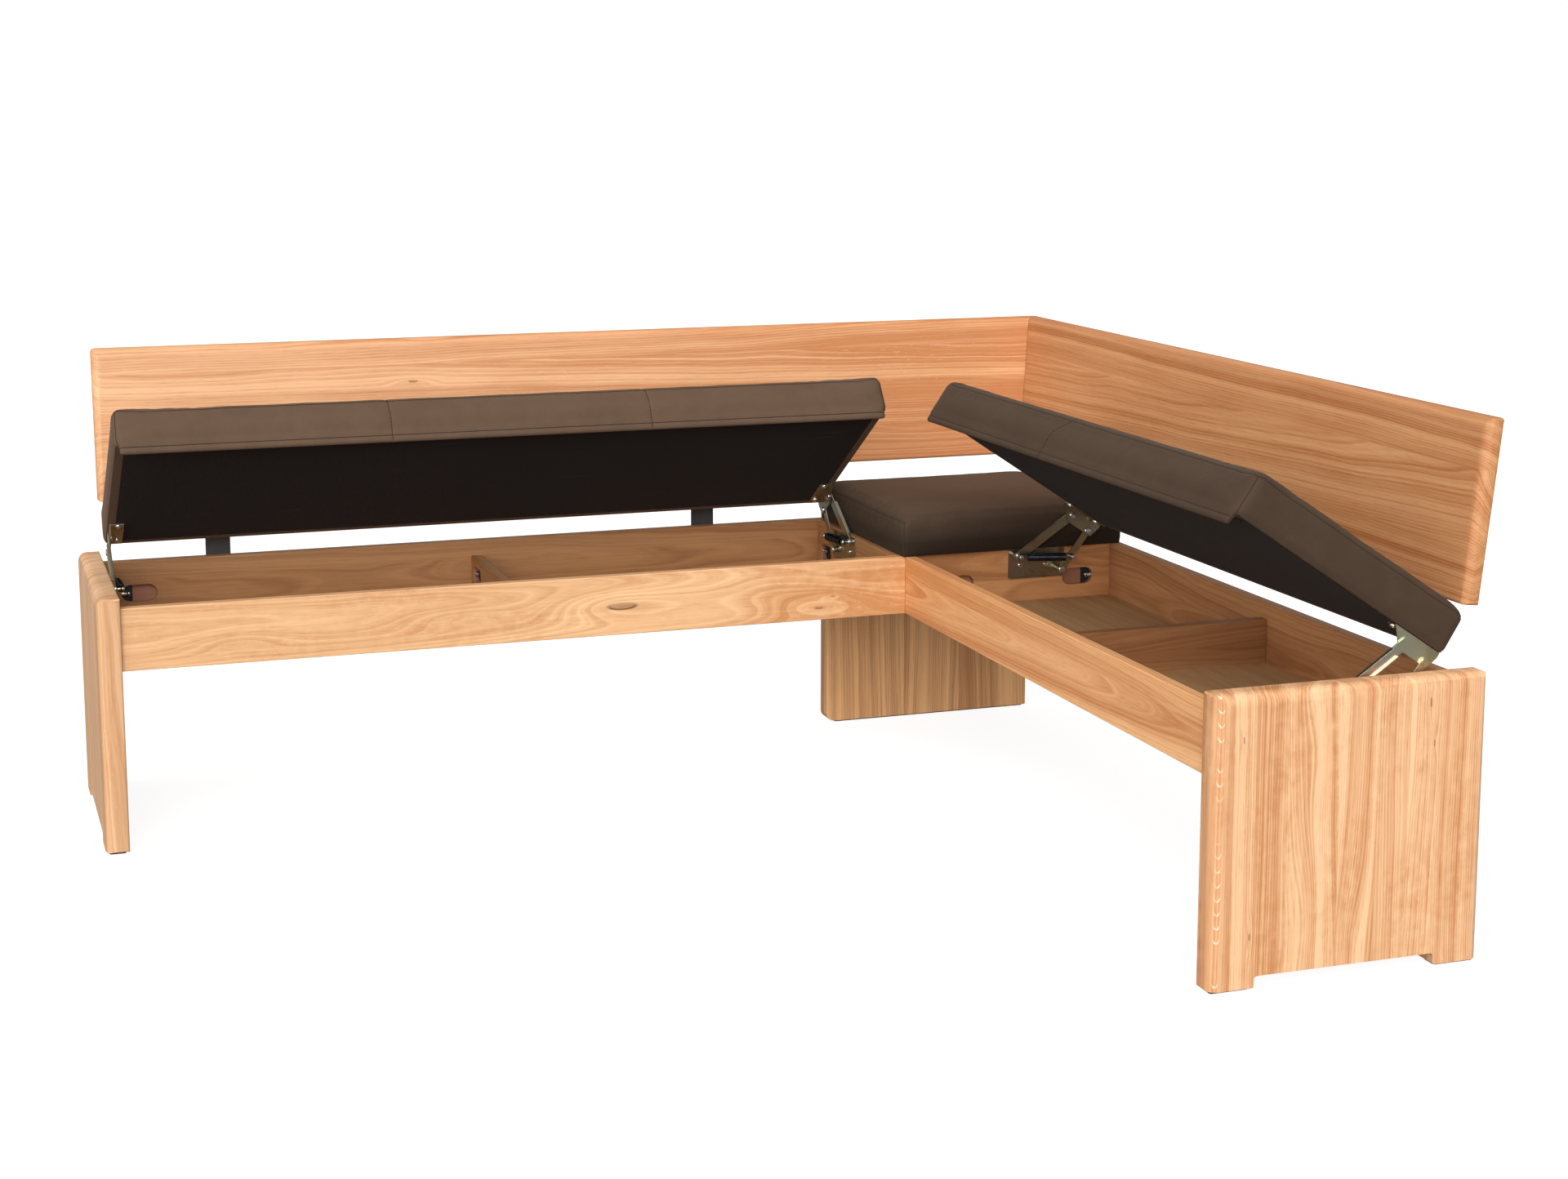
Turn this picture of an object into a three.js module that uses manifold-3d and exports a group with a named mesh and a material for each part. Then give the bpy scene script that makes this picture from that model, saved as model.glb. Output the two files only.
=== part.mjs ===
import * as THREE from "three";
import { mergeVertices } from "three/addons/utils/BufferGeometryUtils.js";
import Module from "manifold-3d";

const wasm = await Module();
wasm.setup();

// Corner storage bench in solid wood, millimetres, Z up, drawn with both lids open.
// Each side is drawn in a frame of its own: X runs outwards along the side from the inside corner,
// where the visible faces of the front rails meet, Y runs from those faces to the back, Z up.

// Sides
const longLength = 1480;
const shortLength = 1225;
const depth = 450;
const woodFit = 0.3;
const cutOverrun = 10;

// Rails
const railTop = 430;
const railHeight = 110;
const railThickness = 20;
const railEdgeRadius = 2;
const mitreGap = 0.4;
const railBottom = railTop - railHeight;
const innerBack = depth - railThickness;

// End panels
const endThickness = 40;
const endHeight = 450;
const endReach = 10;
const endOuterRadius = 20;
const endInnerRadius = 4;
const endCornerRadius = 8;
const frontFootLength = 75;
const rearFootLength = 80;
const notchHeight = 18;
const notchRadius = 6;
const footCornerRadius = 4;

// Glides under the feet
const glideThickness = 3;
const glideInset = 6;
const glideCornerRadius = 4;

// Corner box
const sidePanelThickness = 20;
const frontPanelThickness = 20;
const frontPanelSetback = 6;
const legThickness = 40;
const legBottomRadius = 20;
const legEdgeRadius = 4;

// Bottom boards and dividers
const bottomThickness = 8;
const bottomDrop = 1;
const longDividerPlace = 720;
const shortDividerPlace = 582;
const dividerThickness = 20;
const longDividerDrop = 30;
const shortDividerDrop = 27;

// Routed pockets and their connectors
const pocketLength = 65;
const pocketWidth = 32;
const pocketDepth = 13;
const pocketMargin = 36;
const pocketDrop = 62;
const frontPocketMargin = 58;
const connectorFit = 0.3;
const connectorPlate = 3;
const connectorLength = 20;
const boltRadius = 4;
const boltLength = 12;
const boltHeadRadius = 4.8;
const boltHeadLength = 4;

// Backrests
const backrestThickness = 28;
const backrestBottom = 545;
const backrestInset = 25;
const backrestHeight = 286;
const backrestLean = 6.5;
const backrestFrontRadius = 18;
const backrestRearRadius = 6;
const backrestBottomRadius = 5;
const backrestEndRadius = 9;
const backrestFront = depth - backrestInset;

// Steel brackets behind the backrests
const bracketWidth = 46;
const bracketThickness = 5;
const bracketFoot = 12;
const bracketRise = 150;
const outerBracketPlace = 1222;
const innerBracketPlace = 261;
const shortOuterBracketPlace = 1002;
const shortInnerBracketPlace = -120;
const bracketScrewRadius = 6;
const bracketScrewHead = 2.5;
const bracketScrewInset = 14;
const bracketScrewPitch = 42;

// Seats: an upholstered cushion drawn over a board, with a lining under each lid
// and a soft lip along the lid's front, which hangs before the rail
const lidGap = 0.5;
const lidFrontReach = 13;
const lidRearInset = 24;
const lidEndGap = 2;
const longLidStart = 20;
const shortLidStart = 18;
const cushionHeight = 75;
const cushionCrown = 5;
const cushionPlanRadius = 24;
const cushionDrawIn = 5;
const cushionSeamDepth = 2.5;
const cushionSeamHalfWidth = 9;
const cushionStep = 120;
const cushionEdgeDrop = 5;
const boardThickness = 16;
const boardInset = 9;
const liningThickness = 1.5;
const liningInset = 20;
const lipDrop = 14;
const lipInset = 6;
const lipGap = 1;
const lipRadius = 2.5;
const lipRoot = 8;
const seatFit = 0.3;
const cornerSeatReach = 13;
const cornerSeatCrown = 8;
const longSeamPlaces = [485, 960];
const shortSeamPlaces = [522];

// Lift-up hinges: pivots and the lid's rivets with the lid shut, measured from the back of the
// bench, the pivots down from the top of the rails and the rivets down from the lid's underside
const frontPivotSetback = 226;
const frontPivotDrop = 10;
const rearPivotSetback = 136;
const rearPivotDrop = 41;
const lidFrontRivetSetback = 93.7;
const lidFrontRivetDrop = 15.2;
const lidRearRivetSetback = 48.7;
const lidRearRivetDrop = 24.6;
const frontLinkOpening = 35.7;

// Hinge parts
const plateMetal = 2;
const linkMetal = 2.5;
const hingeFit = 0.3;
const runningGap = 0.5;
const plateFrontMargin = 10;
const plateRearMargin = 17;
const plateTopDrop = 3;
const plateBottomMargin = 17;
const plateCornerRadius = 3;
const plateLip = 5;
const linkPlane = 8;
const cornerLinkInset = 2;
const pivotRadius = 4;
const pivotClearance = 0.4;
const spacerRadius = 6;
const rivetHeadRadius = 6;
const rivetHeadHeight = 2;
const frontLinkHalfWidth = 8.5;
const rearLinkHalfWidth = 6.5;
const linkEndRadius = 7.5;
const flangeDepth = 4.5;
const flangeMetal = 2;
const flangeLowEnd = 17;
const flangeHighEnd = 24;
const cheekDepth = 30;
const bracketFlange = 26;
const cheekRearReach = 17;
const cheekRearDrop = 8;
const cheekRearFoot = 10;
const cheekFrontFoot = 42;
const cheekFrontKnee = 54;
const cheekFrontReach = 76;
const cheekKneeDrop = 24;
const lidBoltRadius = 5.5;
const lidBoltHead = 3;
const lidBoltReaches = [68, 3];
const screwRadius = 4.5;
const screwHead = 2;
const screwPlaces = [[15, 23], [68, 24]];

// Springs
const springStudReach = 31;
const springStudRadius = 3;
const springStudHeadRadius = 4.5;
const springPlane = 12;
const springCoilRadius = 6.7;
const springWireRadius = 1.3;
const springHookGap = 0.3;
const springHookRun = 14;
const springHookBend = 3;
const springHookTurn = 250;
const springStudTail = 3.5;
const springCurls = 16;

// Counts of steps
const arcSteps = 5;
const roundSides = 12;
const curlSteps = 8;
const wireSides = 5;
const hookSteps = 7;

// Finishes, by the kind of piece
const finishes = {
  oak: { color: 0xd0945c, roughness: 0.5, metalness: 0 },
  innerOak: { color: 0xa9713f, roughness: 0.6, metalness: 0 },
  bottomBoard: { color: 0x8f6238, roughness: 0.6, metalness: 0 },
  leather: { color: 0x5b4c3d, roughness: 0.7, metalness: 0 },
  lining: { color: 0x17120f, roughness: 0.95, metalness: 0 },
  plywood: { color: 0xb08a5c, roughness: 0.8, metalness: 0 },
  zinc: { color: 0xa79c6d, roughness: 0.35, metalness: 0.9 },
  springSteel: { color: 0x20242a, roughness: 0.35, metalness: 0.9 },
  darkSteel: { color: 0x3b3b3e, roughness: 0.5, metalness: 0.8 },
  glide: { color: 0x2b2119, roughness: 0.7, metalness: 0 },
  socket: { color: 0x14110f, roughness: 0.5, metalness: 0 },
};

const alongX = new THREE.Matrix4().makeBasis(
  new THREE.Vector3(0, 1, 0),
  new THREE.Vector3(0, 0, 1),
  new THREE.Vector3(1, 0, 0),
);
const alongY = new THREE.Matrix4().makeBasis(
  new THREE.Vector3(1, 0, 0),
  new THREE.Vector3(0, 0, 1),
  new THREE.Vector3(0, -1, 0),
);

// A named mesh in its parent, with a material of its own
function piece(parent, name, geometry, finish) {
  const mesh = new THREE.Mesh(geometry, new THREE.MeshStandardMaterial(finishes[finish]));
  mesh.name = name;
  parent.add(mesh);
  return mesh;
}

function solidOf(geometry) {
  const bare = geometry.clone();
  bare.deleteAttribute("normal");
  bare.deleteAttribute("uv");
  const merged = mergeVertices(bare);
  const mesh = new wasm.Mesh({
    numProp: 3,
    vertProperties: merged.attributes.position.array,
    triVerts: new Uint32Array(merged.index.array),
  });
  return new wasm.Manifold(mesh);
}

function geometryOf(solid) {
  const mesh = solid.getMesh();
  const geometry = new THREE.BufferGeometry();
  geometry.setAttribute("position", new THREE.BufferAttribute(new Float32Array(mesh.vertProperties), 3));
  geometry.setIndex(new THREE.BufferAttribute(new Uint32Array(mesh.triVerts), 1));
  geometry.computeVertexNormals();
  return geometry;
}

const joined = (first, ...rest) =>
  geometryOf(rest.reduce((whole, next) => whole.add(solidOf(next)), solidOf(first)));
const cut = (first, ...rest) =>
  geometryOf(rest.reduce((whole, next) => whole.subtract(solidOf(next)), solidOf(first)));
const common = (first, ...rest) =>
  geometryOf(rest.reduce((whole, next) => whole.intersect(solidOf(next)), solidOf(first)));

// A box between limits on each axis
function block(x, y, z) {
  const geometry = new THREE.BoxGeometry(x[1] - x[0], y[1] - y[0], z[1] - z[0]);
  return geometry.translate((x[0] + x[1]) / 2, (y[0] + y[1]) / 2, (z[0] + z[1]) / 2);
}

// A closed outline through corners, each given as two coordinates and a rounding radius
function outline(corners) {
  const shape = new THREE.Shape();
  const points = corners.map(([a, b]) => new THREE.Vector2(a, b));
  const count = points.length;
  corners.forEach(([, , radius = 0], i) => {
    const corner = points[i];
    const before = points[(i + count - 1) % count].clone().sub(corner);
    const after = points[(i + 1) % count].clone().sub(corner);
    const start = corner.clone().addScaledVector(before.clone().normalize(), radius);
    const end = corner.clone().addScaledVector(after.clone().normalize(), radius);
    if (i === 0) shape.moveTo(start.x, start.y);
    else shape.lineTo(start.x, start.y);
    if (radius > 0) shape.quadraticCurveTo(corner.x, corner.y, end.x, end.y);
  });
  shape.closePath();
  return shape;
}

// An outline pushed along an axis: Y and Z across X, X and Z across Y, X and Y across Z
function prism(axis, shape, from, to) {
  const options = { depth: to - from, bevelEnabled: false, curveSegments: arcSteps };
  const geometry = new THREE.ExtrudeGeometry(shape, options);
  if (axis === "x") return geometry.applyMatrix4(alongX).translate(from, 0, 0);
  if (axis === "y") return geometry.applyMatrix4(alongY).translate(0, to, 0);
  return geometry.translate(0, 0, from);
}

// A turned piece on a line along X, from steps of radius and end
function turned(from, steps, y, z, sides = roundSides) {
  const profile = [new THREE.Vector2(0, from)];
  let place = from;
  steps.forEach(([radius, end]) => {
    profile.push(new THREE.Vector2(radius, place), new THREE.Vector2(radius, end));
    place = end;
  });
  profile.push(new THREE.Vector2(0, place));
  const geometry = new THREE.LatheGeometry(profile, sides);
  return geometry.rotateZ(-Math.PI / 2).translate(0, y, z);
}

// The wedge beyond the corner's diagonal, which the corner pieces are mitred to
function mitreWedge(reach) {
  const far = depth + longLength;
  const shape = outline([
    [-far, far + mitreGap],
    [-far, -far],
    [far + mitreGap, -far],
  ]);
  return prism("z", shape, -cutOverrun, reach);
}

// Rails
function frontRail(side) {
  const section = outline([
    [0, railBottom, railEdgeRadius],
    [railThickness, railBottom, railEdgeRadius],
    [railThickness, railTop, railEdgeRadius],
    [0, railTop, railEdgeRadius],
  ]);
  const rail = prism("x", section, -railThickness - cutOverrun, side.innerEnd - woodFit);
  piece(side.frame, side.name + "_front_rail", cut(rail, mitreWedge(railTop + cutOverrun)), "oak");
}

function backRail(side) {
  const section = outline([
    [innerBack, railBottom, railEdgeRadius],
    [depth, railBottom, railEdgeRadius],
    [depth, railTop, railEdgeRadius],
    [innerBack, railTop, railEdgeRadius],
  ]);
  const rail = prism("x", section, side.backRailStart + woodFit, side.innerEnd - woodFit);
  if (!side.backRailPocket) {
    piece(side.frame, side.name + "_back_rail", rail, "innerOak");
    return;
  }
  const end = side.innerEnd - pocketMargin;
  const pocket = pocketOutline(end - pocketLength, end);
  const recess = prism("y", pocket, innerBack - cutOverrun, innerBack + pocketDepth);
  piece(side.frame, side.name + "_back_rail", cut(rail, recess), "innerOak");
  const holder = new THREE.Group();
  holder.position.set(end, innerBack + pocketDepth, railTop - pocketDrop);
  holder.rotation.set(Math.PI / 2, 0, 0);
  side.frame.add(holder);
  piece(holder, side.name + "_back_rail_connector", connector(-1), "socket");
}

// Stadium outline of a routed pocket between two places, at the pockets' height
function pocketOutline(from, to) {
  const middle = railTop - pocketDrop;
  const radius = pocketWidth / 2;
  const shape = new THREE.Shape();
  shape.absarc(to - radius, middle, radius, -Math.PI / 2, Math.PI / 2, false);
  shape.absarc(from + radius, middle, radius, Math.PI / 2, (3 * Math.PI) / 2, false);
  shape.closePath();
  return shape;
}

// A dark socket plate with its bolt, drawn from the pocket's round end.
// X runs along the pocket, Y across it and Z out of it; way is the side on which the pocket lies.
function connector(way) {
  const radius = pocketWidth / 2 - connectorFit;
  const middle = connectorFit + radius;
  const plate = new THREE.Shape();
  plate.moveTo(way * connectorLength, -radius * way);
  plate.lineTo(way * connectorLength, radius * way);
  plate.absarc(way * middle, 0, radius, (way * Math.PI) / 2, (way * Math.PI) / 2 + Math.PI, false);
  plate.closePath();
  const base = prism("z", plate, connectorFit, connectorFit + connectorPlate);
  const height = connectorFit + connectorPlate + boltRadius;
  const steps = [
    [boltRadius, connectorFit + boltLength],
    [boltHeadRadius, connectorFit + boltLength + boltHeadLength],
  ];
  const bolt = turned(connectorFit + boltRadius, steps, 0, height, roundSides / 2);
  if (way < 0) bolt.rotateZ(Math.PI);
  return joined(base, bolt);
}

// End panels: three outlines crossed, so that the outer face has its rounded edges
function endPanel(side) {
  const front = -endReach;
  const bottom = glideThickness + woodFit;
  const profile = outline([
    [front, bottom, footCornerRadius],
    [front + frontFootLength, bottom, footCornerRadius],
    [front + frontFootLength, bottom + notchHeight, notchRadius],
    [depth - rearFootLength, bottom + notchHeight, notchRadius],
    [depth - rearFootLength, bottom, footCornerRadius],
    [depth, bottom, footCornerRadius],
    [depth, endHeight, endCornerRadius],
    [front, endHeight, endCornerRadius],
  ]);
  const plan = outline([
    [side.innerEnd, front, endInnerRadius],
    [side.length, front, endOuterRadius],
    [side.length, depth, endOuterRadius],
    [side.innerEnd, depth, endInnerRadius],
  ]);
  const face = outline([
    [side.innerEnd, bottom],
    [side.length, bottom],
    [side.length, endHeight, endOuterRadius],
    [side.innerEnd, endHeight, endInnerRadius],
  ]);
  const panel = common(
    prism("x", profile, side.innerEnd, side.length),
    prism("z", plan, bottom, endHeight),
    prism("y", face, front, depth),
  );
  piece(side.frame, side.name + "_end_panel", panel, "oak");
  glide(side, "front", front, front + frontFootLength);
  glide(side, "rear", depth - rearFootLength, depth);
}

function glide(side, place, from, to) {
  const shape = outline([
    [side.innerEnd + glideInset, from + glideInset, glideCornerRadius],
    [side.length - glideInset, from + glideInset, glideCornerRadius],
    [side.length - glideInset, to - glideInset, glideCornerRadius],
    [side.innerEnd + glideInset, to - glideInset, glideCornerRadius],
  ]);
  piece(side.frame, side.name + "_" + place + "_glide", prism("z", shape, 0, glideThickness), "glide");
}

// Divider and bottom boards of a compartment
function compartment(side) {
  const y = [railThickness + woodFit, innerBack - woodFit];
  const bottom = railBottom - bottomDrop;
  const floor = [bottom, bottom + bottomThickness];
  const wall = [side.divider, side.divider + dividerThickness];
  const inner = block([side.cornerFace + woodFit, wall[0] - woodFit], y, floor);
  const outer = block([wall[1] + woodFit, side.innerEnd - woodFit], y, floor);
  piece(side.frame, side.name + "_inner_bottom", inner, "bottomBoard");
  piece(side.frame, side.name + "_outer_bottom", outer, "bottomBoard");
  const divider = block(wall, y, [bottom, railTop - side.dividerDrop]);
  if (!side.dividerPocket) {
    piece(side.frame, side.name + "_divider", divider, "innerOak");
    return;
  }
  const end = innerBack - woodFit - pocketMargin / 2;
  const pocket = pocketOutline(end - pocketLength, end);
  const recess = prism("x", pocket, wall[1] - pocketDepth, wall[1] + cutOverrun);
  piece(side.frame, side.name + "_divider", cut(divider, recess), "innerOak");
  const holder = new THREE.Group();
  holder.position.set(wall[1] - pocketDepth, end, railTop - pocketDrop);
  holder.setRotationFromMatrix(alongX);
  side.frame.add(holder);
  piece(holder, side.name + "_divider_connector", connector(-1), "socket");
}

// Backrest board, drawn upright, leaned back and mitred at the corner
function backrest(side) {
  const section = outline([
    [0, 0, backrestBottomRadius],
    [backrestThickness, 0, backrestBottomRadius],
    [backrestThickness, backrestHeight, backrestRearRadius],
    [0, backrestHeight, backrestFrontRadius],
  ]);
  const start = -depth - backrestThickness - cutOverrun - backrestHeight;
  const plan = outline([
    [start, 0],
    [side.innerEnd, 0, backrestFrontRadius],
    [side.innerEnd, backrestThickness, backrestRearRadius],
    [start, backrestThickness],
  ]);
  const face = outline([
    [start, 0],
    [side.innerEnd, 0, backrestEndRadius],
    [side.innerEnd, backrestHeight, backrestEndRadius],
    [start, backrestHeight],
  ]);
  const board = common(
    prism("x", section, start, side.innerEnd),
    prism("z", plan, 0, backrestHeight),
    prism("y", face, 0, backrestThickness),
  );
  board.rotateX(THREE.MathUtils.degToRad(-backrestLean)).translate(0, backrestFront, backrestBottom);
  const wedge = mitreWedge(backrestBottom + backrestHeight + cutOverrun);
  piece(side.frame, side.name + "_backrest", cut(board, wedge), "oak");
  backrestBracket(side, "outer", side.outerBracket);
  backrestBracket(side, "inner", side.innerBracket);
}

// Flat steel bent to the backrest's lean, screwed to the back rail and to the backrest
function backrestBracket(side, place, centre) {
  const lean = THREE.MathUtils.degToRad(backrestLean);
  const slope = Math.tan(lean);
  const near = depth + hingeFit;
  const rearAtBottom = backrestFront + (backrestThickness + hingeFit) / Math.cos(lean);
  const bend = backrestBottom - (rearAtBottom - near) / slope;
  const bottom = railBottom + bracketFoot;
  const top = backrestBottom + bracketRise;
  const farBend = bend + bracketThickness * Math.tan(lean / 2);
  const topNear = near + (top - bend) * slope;
  const topFar = topNear + bracketThickness * Math.cos(lean);
  const strip = outline([
    [near, bottom],
    [near + bracketThickness, bottom],
    [near + bracketThickness, farBend],
    [topFar, top - bracketThickness * Math.sin(lean)],
    [topNear, top],
    [near, bend],
  ]);
  const half = bracketWidth / 2;
  const strap = prism("x", strip, centre - half, centre + half);
  const heads = [];
  [-1, 1].forEach((way) => {
    const x = centre + way * (half - bracketScrewInset);
    const head = new THREE.CylinderGeometry(
      bracketScrewRadius, bracketScrewRadius, bracketScrewHead + bracketThickness / 2, roundSides / 2,
    );
    const lift = near + bracketThickness / 2 + (bracketScrewHead + bracketThickness / 2) / 2;
    heads.push(head.clone().translate(x, lift, bottom + bracketScrewInset + (way + 1) * bracketScrewInset));
    const up = top - bracketScrewInset - bracketScrewPitch / 2 + (way * bracketScrewPitch) / 2;
    const high = head.clone().rotateX(-lean);
    heads.push(high.translate(x, lift + (up - bend) * slope, up));
  });
  piece(side.frame, side.name + "_" + place + "_backrest_bracket", joined(strap, ...heads), "darkSteel");
}

// Places along a cushion's edge: close together at its round corners and at each seam
function stations(length, radius, seams) {
  const cornerShares = [0, 0.59, 1];
  const fixed = [0, length];
  cornerShares.forEach((share) => fixed.push(radius * share, length - radius * share));
  seams.forEach((seam) => fixed.push(seam - cushionSeamHalfWidth, seam, seam + cushionSeamHalfWidth));
  const sorted = [...new Set(fixed)].sort((a, b) => a - b);
  const places = [sorted[0]];
  sorted.slice(1).forEach((end, i) => {
    const start = sorted[i];
    const parts = Math.max(1, Math.round((end - start) / cushionStep));
    for (let n = 1; n <= parts; n += 1) places.push(start + ((end - start) * n) / parts);
  });
  return places;
}

// An upholstered block with round corners, drawn-in sides, a crown and sewn seams across it
function cushion(length, width, height, crown, seams) {
  const levelShares = [0, 0.08, 0.3, 0.6, 0.88, 1];
  const xs = stations(length, cushionPlanRadius, seams);
  const ys = stations(width, cushionPlanRadius, []);
  const zs = levelShares.map((share) => share * (height - crown));
  const geometry = new THREE.BoxGeometry(1, 1, 1, xs.length - 1, ys.length - 1, zs.length - 1);
  const place = geometry.attributes.position;
  for (let n = 0; n < place.count; n += 1) {
    const i = Math.round((place.getX(n) + 0.5) * (xs.length - 1));
    const j = Math.round((place.getY(n) + 0.5) * (ys.length - 1));
    const k = Math.round((place.getZ(n) + 0.5) * (zs.length - 1));
    const point = new THREE.Vector3(xs[i], ys[j], zs[k]);
    roundPlan(point, length, width);
    const level = 2 * levelShares[k] - 1;
    const drawIn = cushionDrawIn * Math.abs(level) ** 3;
    point.x = length / 2 + (point.x - length / 2) * (1 - (2 * drawIn) / length);
    point.y = width / 2 + (point.y - width / 2) * (1 - (2 * drawIn) / width);
    const onTop = k === zs.length - 1;
    const onSide = j === 0 || j === ys.length - 1;
    const onEnd = i === 0 || i === xs.length - 1;
    if (onTop) {
      const across = Math.abs((2 * xs[i]) / length - 1) ** 8;
      const along = Math.abs((2 * ys[j]) / width - 1) ** 4;
      point.z += crown * (1 - across) * (1 - along);
      if (onSide || onEnd) point.z -= cushionEdgeDrop;
    }
    if (seams.includes(xs[i]) && k > 0) {
      if (onTop) point.z -= cushionSeamDepth;
      if (onSide) point.y += j === 0 ? cushionSeamDepth : -cushionSeamDepth;
    }
    place.setXYZ(n, point.x, point.y, point.z);
  }
  return geometry;
}

// Moves a point from a square-cornered plan to one with round corners
function roundPlan(point, length, width) {
  const x = THREE.MathUtils.clamp(point.x, cushionPlanRadius, length - cushionPlanRadius);
  const y = THREE.MathUtils.clamp(point.y, cushionPlanRadius, width - cushionPlanRadius);
  const offset = new THREE.Vector2(point.x - x, point.y - y);
  const reach = Math.max(Math.abs(offset.x), Math.abs(offset.y));
  if (reach === 0) return;
  offset.setLength(reach);
  point.x = x + offset.x;
  point.y = y + offset.y;
}

// The lip below the front of a lid's cushion
function lip(x, front, bottom) {
  const low = lidUnderside - lipDrop;
  const section = outline([
    [front, low, lipRadius],
    [-lipGap, low, lipRadius],
    [-lipGap, bottom + lipRoot],
    [front, bottom + lipRoot],
  ]);
  return prism("x", section, x[0] + cushionPlanRadius, x[1] - cushionPlanRadius);
}

// A seat's cushion and board between limits in plan, on the level of its underside
function seat(parent, name, x, y, underside, crown, seams, lined) {
  const lift = lined ? liningThickness + seatFit : 0;
  const bottom = underside + lift;
  const boardX = [x[0] + boardInset, x[1] - boardInset];
  const margin = lined ? lidFrontReach : 0;
  const boardY = [y[0] + margin + boardInset, y[1] - boardInset];
  const height = cushionHeight - lift + crown;
  const form = cushion(x[1] - x[0], y[1] - y[0], height, crown, seams.map((seam) => seam - x[0]));
  form.translate(x[0], y[0], bottom);
  const room = block(
    [boardX[0] - seatFit, boardX[1] + seatFit],
    [boardY[0] - seatFit, boardY[1] + seatFit],
    [bottom - cutOverrun, bottom + boardThickness + seatFit],
  );
  const hollowed = cut(form, room);
  const whole = lined ? joined(hollowed, lip(x, y[0] + lipInset, bottom)) : hollowed;
  piece(parent, name + "_cushion", whole, "leather");
  piece(parent, name + "_board", block(boardX, boardY, [bottom, bottom + boardThickness]), "plywood");
  if (!lined) return;
  const cloth = block(
    [x[0] + liningInset, x[1] - liningInset],
    [y[0] + margin + liningInset, y[1] - liningInset],
    [underside, underside + liningThickness],
  );
  piece(parent, name + "_lining", cloth, "lining");
}

// The hinge's four pivots, shut and open, in the plane across the side
const lidUnderside = railTop + lidGap;
const lidRear = depth - lidRearInset;
const lidFront = -lidFrontReach;
const frontPivot = new THREE.Vector2(depth - frontPivotSetback, railTop - frontPivotDrop);
const rearPivot = new THREE.Vector2(depth - rearPivotSetback, railTop - rearPivotDrop);
const shutFrontRivet = new THREE.Vector2(depth - lidFrontRivetSetback, lidUnderside - lidFrontRivetDrop);
const shutRearRivet = new THREE.Vector2(depth - lidRearRivetSetback, lidUnderside - lidRearRivetDrop);
const shutFrontArm = shutFrontRivet.clone().sub(frontPivot);
const shutRearArm = shutRearRivet.clone().sub(rearPivot);
const openHinge = solveHinge(THREE.MathUtils.degToRad(frontLinkOpening));

function solveHinge(opening) {
  const frontRivet = shutFrontArm.clone().rotateAround(new THREE.Vector2(0, 0), opening).add(frontPivot);
  const toRear = rearPivot.clone().sub(frontRivet);
  const span = toRear.length();
  const coupler = shutRearRivet.distanceTo(shutFrontRivet);
  const rearArm = shutRearArm.length();
  const along = (coupler ** 2 - rearArm ** 2 + span ** 2) / (2 * span);
  const aside = Math.sqrt(coupler ** 2 - along ** 2);
  const direction = toRear.clone().divideScalar(span);
  const rearRivet = frontRivet.clone().addScaledVector(direction, along);
  rearRivet.add(new THREE.Vector2(-direction.y, direction.x).multiplyScalar(aside));
  const shutCoupler = shutRearRivet.clone().sub(shutFrontRivet).angle();
  const openCoupler = rearRivet.clone().sub(frontRivet).angle();
  return {
    frontRivet,
    rearRivet,
    lidTurn: openCoupler - shutCoupler,
    frontAngle: shutFrontArm.angle() + opening,
    rearAngle: rearRivet.clone().sub(rearPivot).angle(),
  };
}

// A lid: everything in it is drawn shut and turned up about the front rivets
function lid(side) {
  const shut = new THREE.Group();
  shut.position.set(0, -shutFrontRivet.x, -shutFrontRivet.y);
  const open = new THREE.Group();
  open.position.set(0, openHinge.frontRivet.x, openHinge.frontRivet.y);
  open.rotation.x = openHinge.lidTurn;
  open.add(shut);
  side.frame.add(open);
  const x = [side.lidStart, side.innerEnd - lidEndGap];
  seat(shut, side.name + "_lid", x, [lidFront, lidRear], lidUnderside, cushionCrown, side.seams, true);
  side.lid = shut;
}

// One hinge. Its own X runs from the panel it is screwed to into the box.
function hinge(side, place, face, way, plane) {
  const name = side.name + "_" + place + "_";
  const frame = new THREE.Group();
  frame.position.x = face;
  frame.scale.x = way;
  side.frame.add(frame);
  const linkTop = plane + linkMetal;
  basePlate(frame, name, plane, linkTop);
  frontLink(frame, name, plane, linkTop);
  rearLink(frame, name, plane, linkTop);
  const lidFrame = new THREE.Group();
  lidFrame.position.x = face;
  lidFrame.scale.x = way;
  side.lid.add(lidFrame);
  lidBracket(lidFrame, name, linkTop + runningGap);
  spring(frame, name, plane);
}

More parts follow.
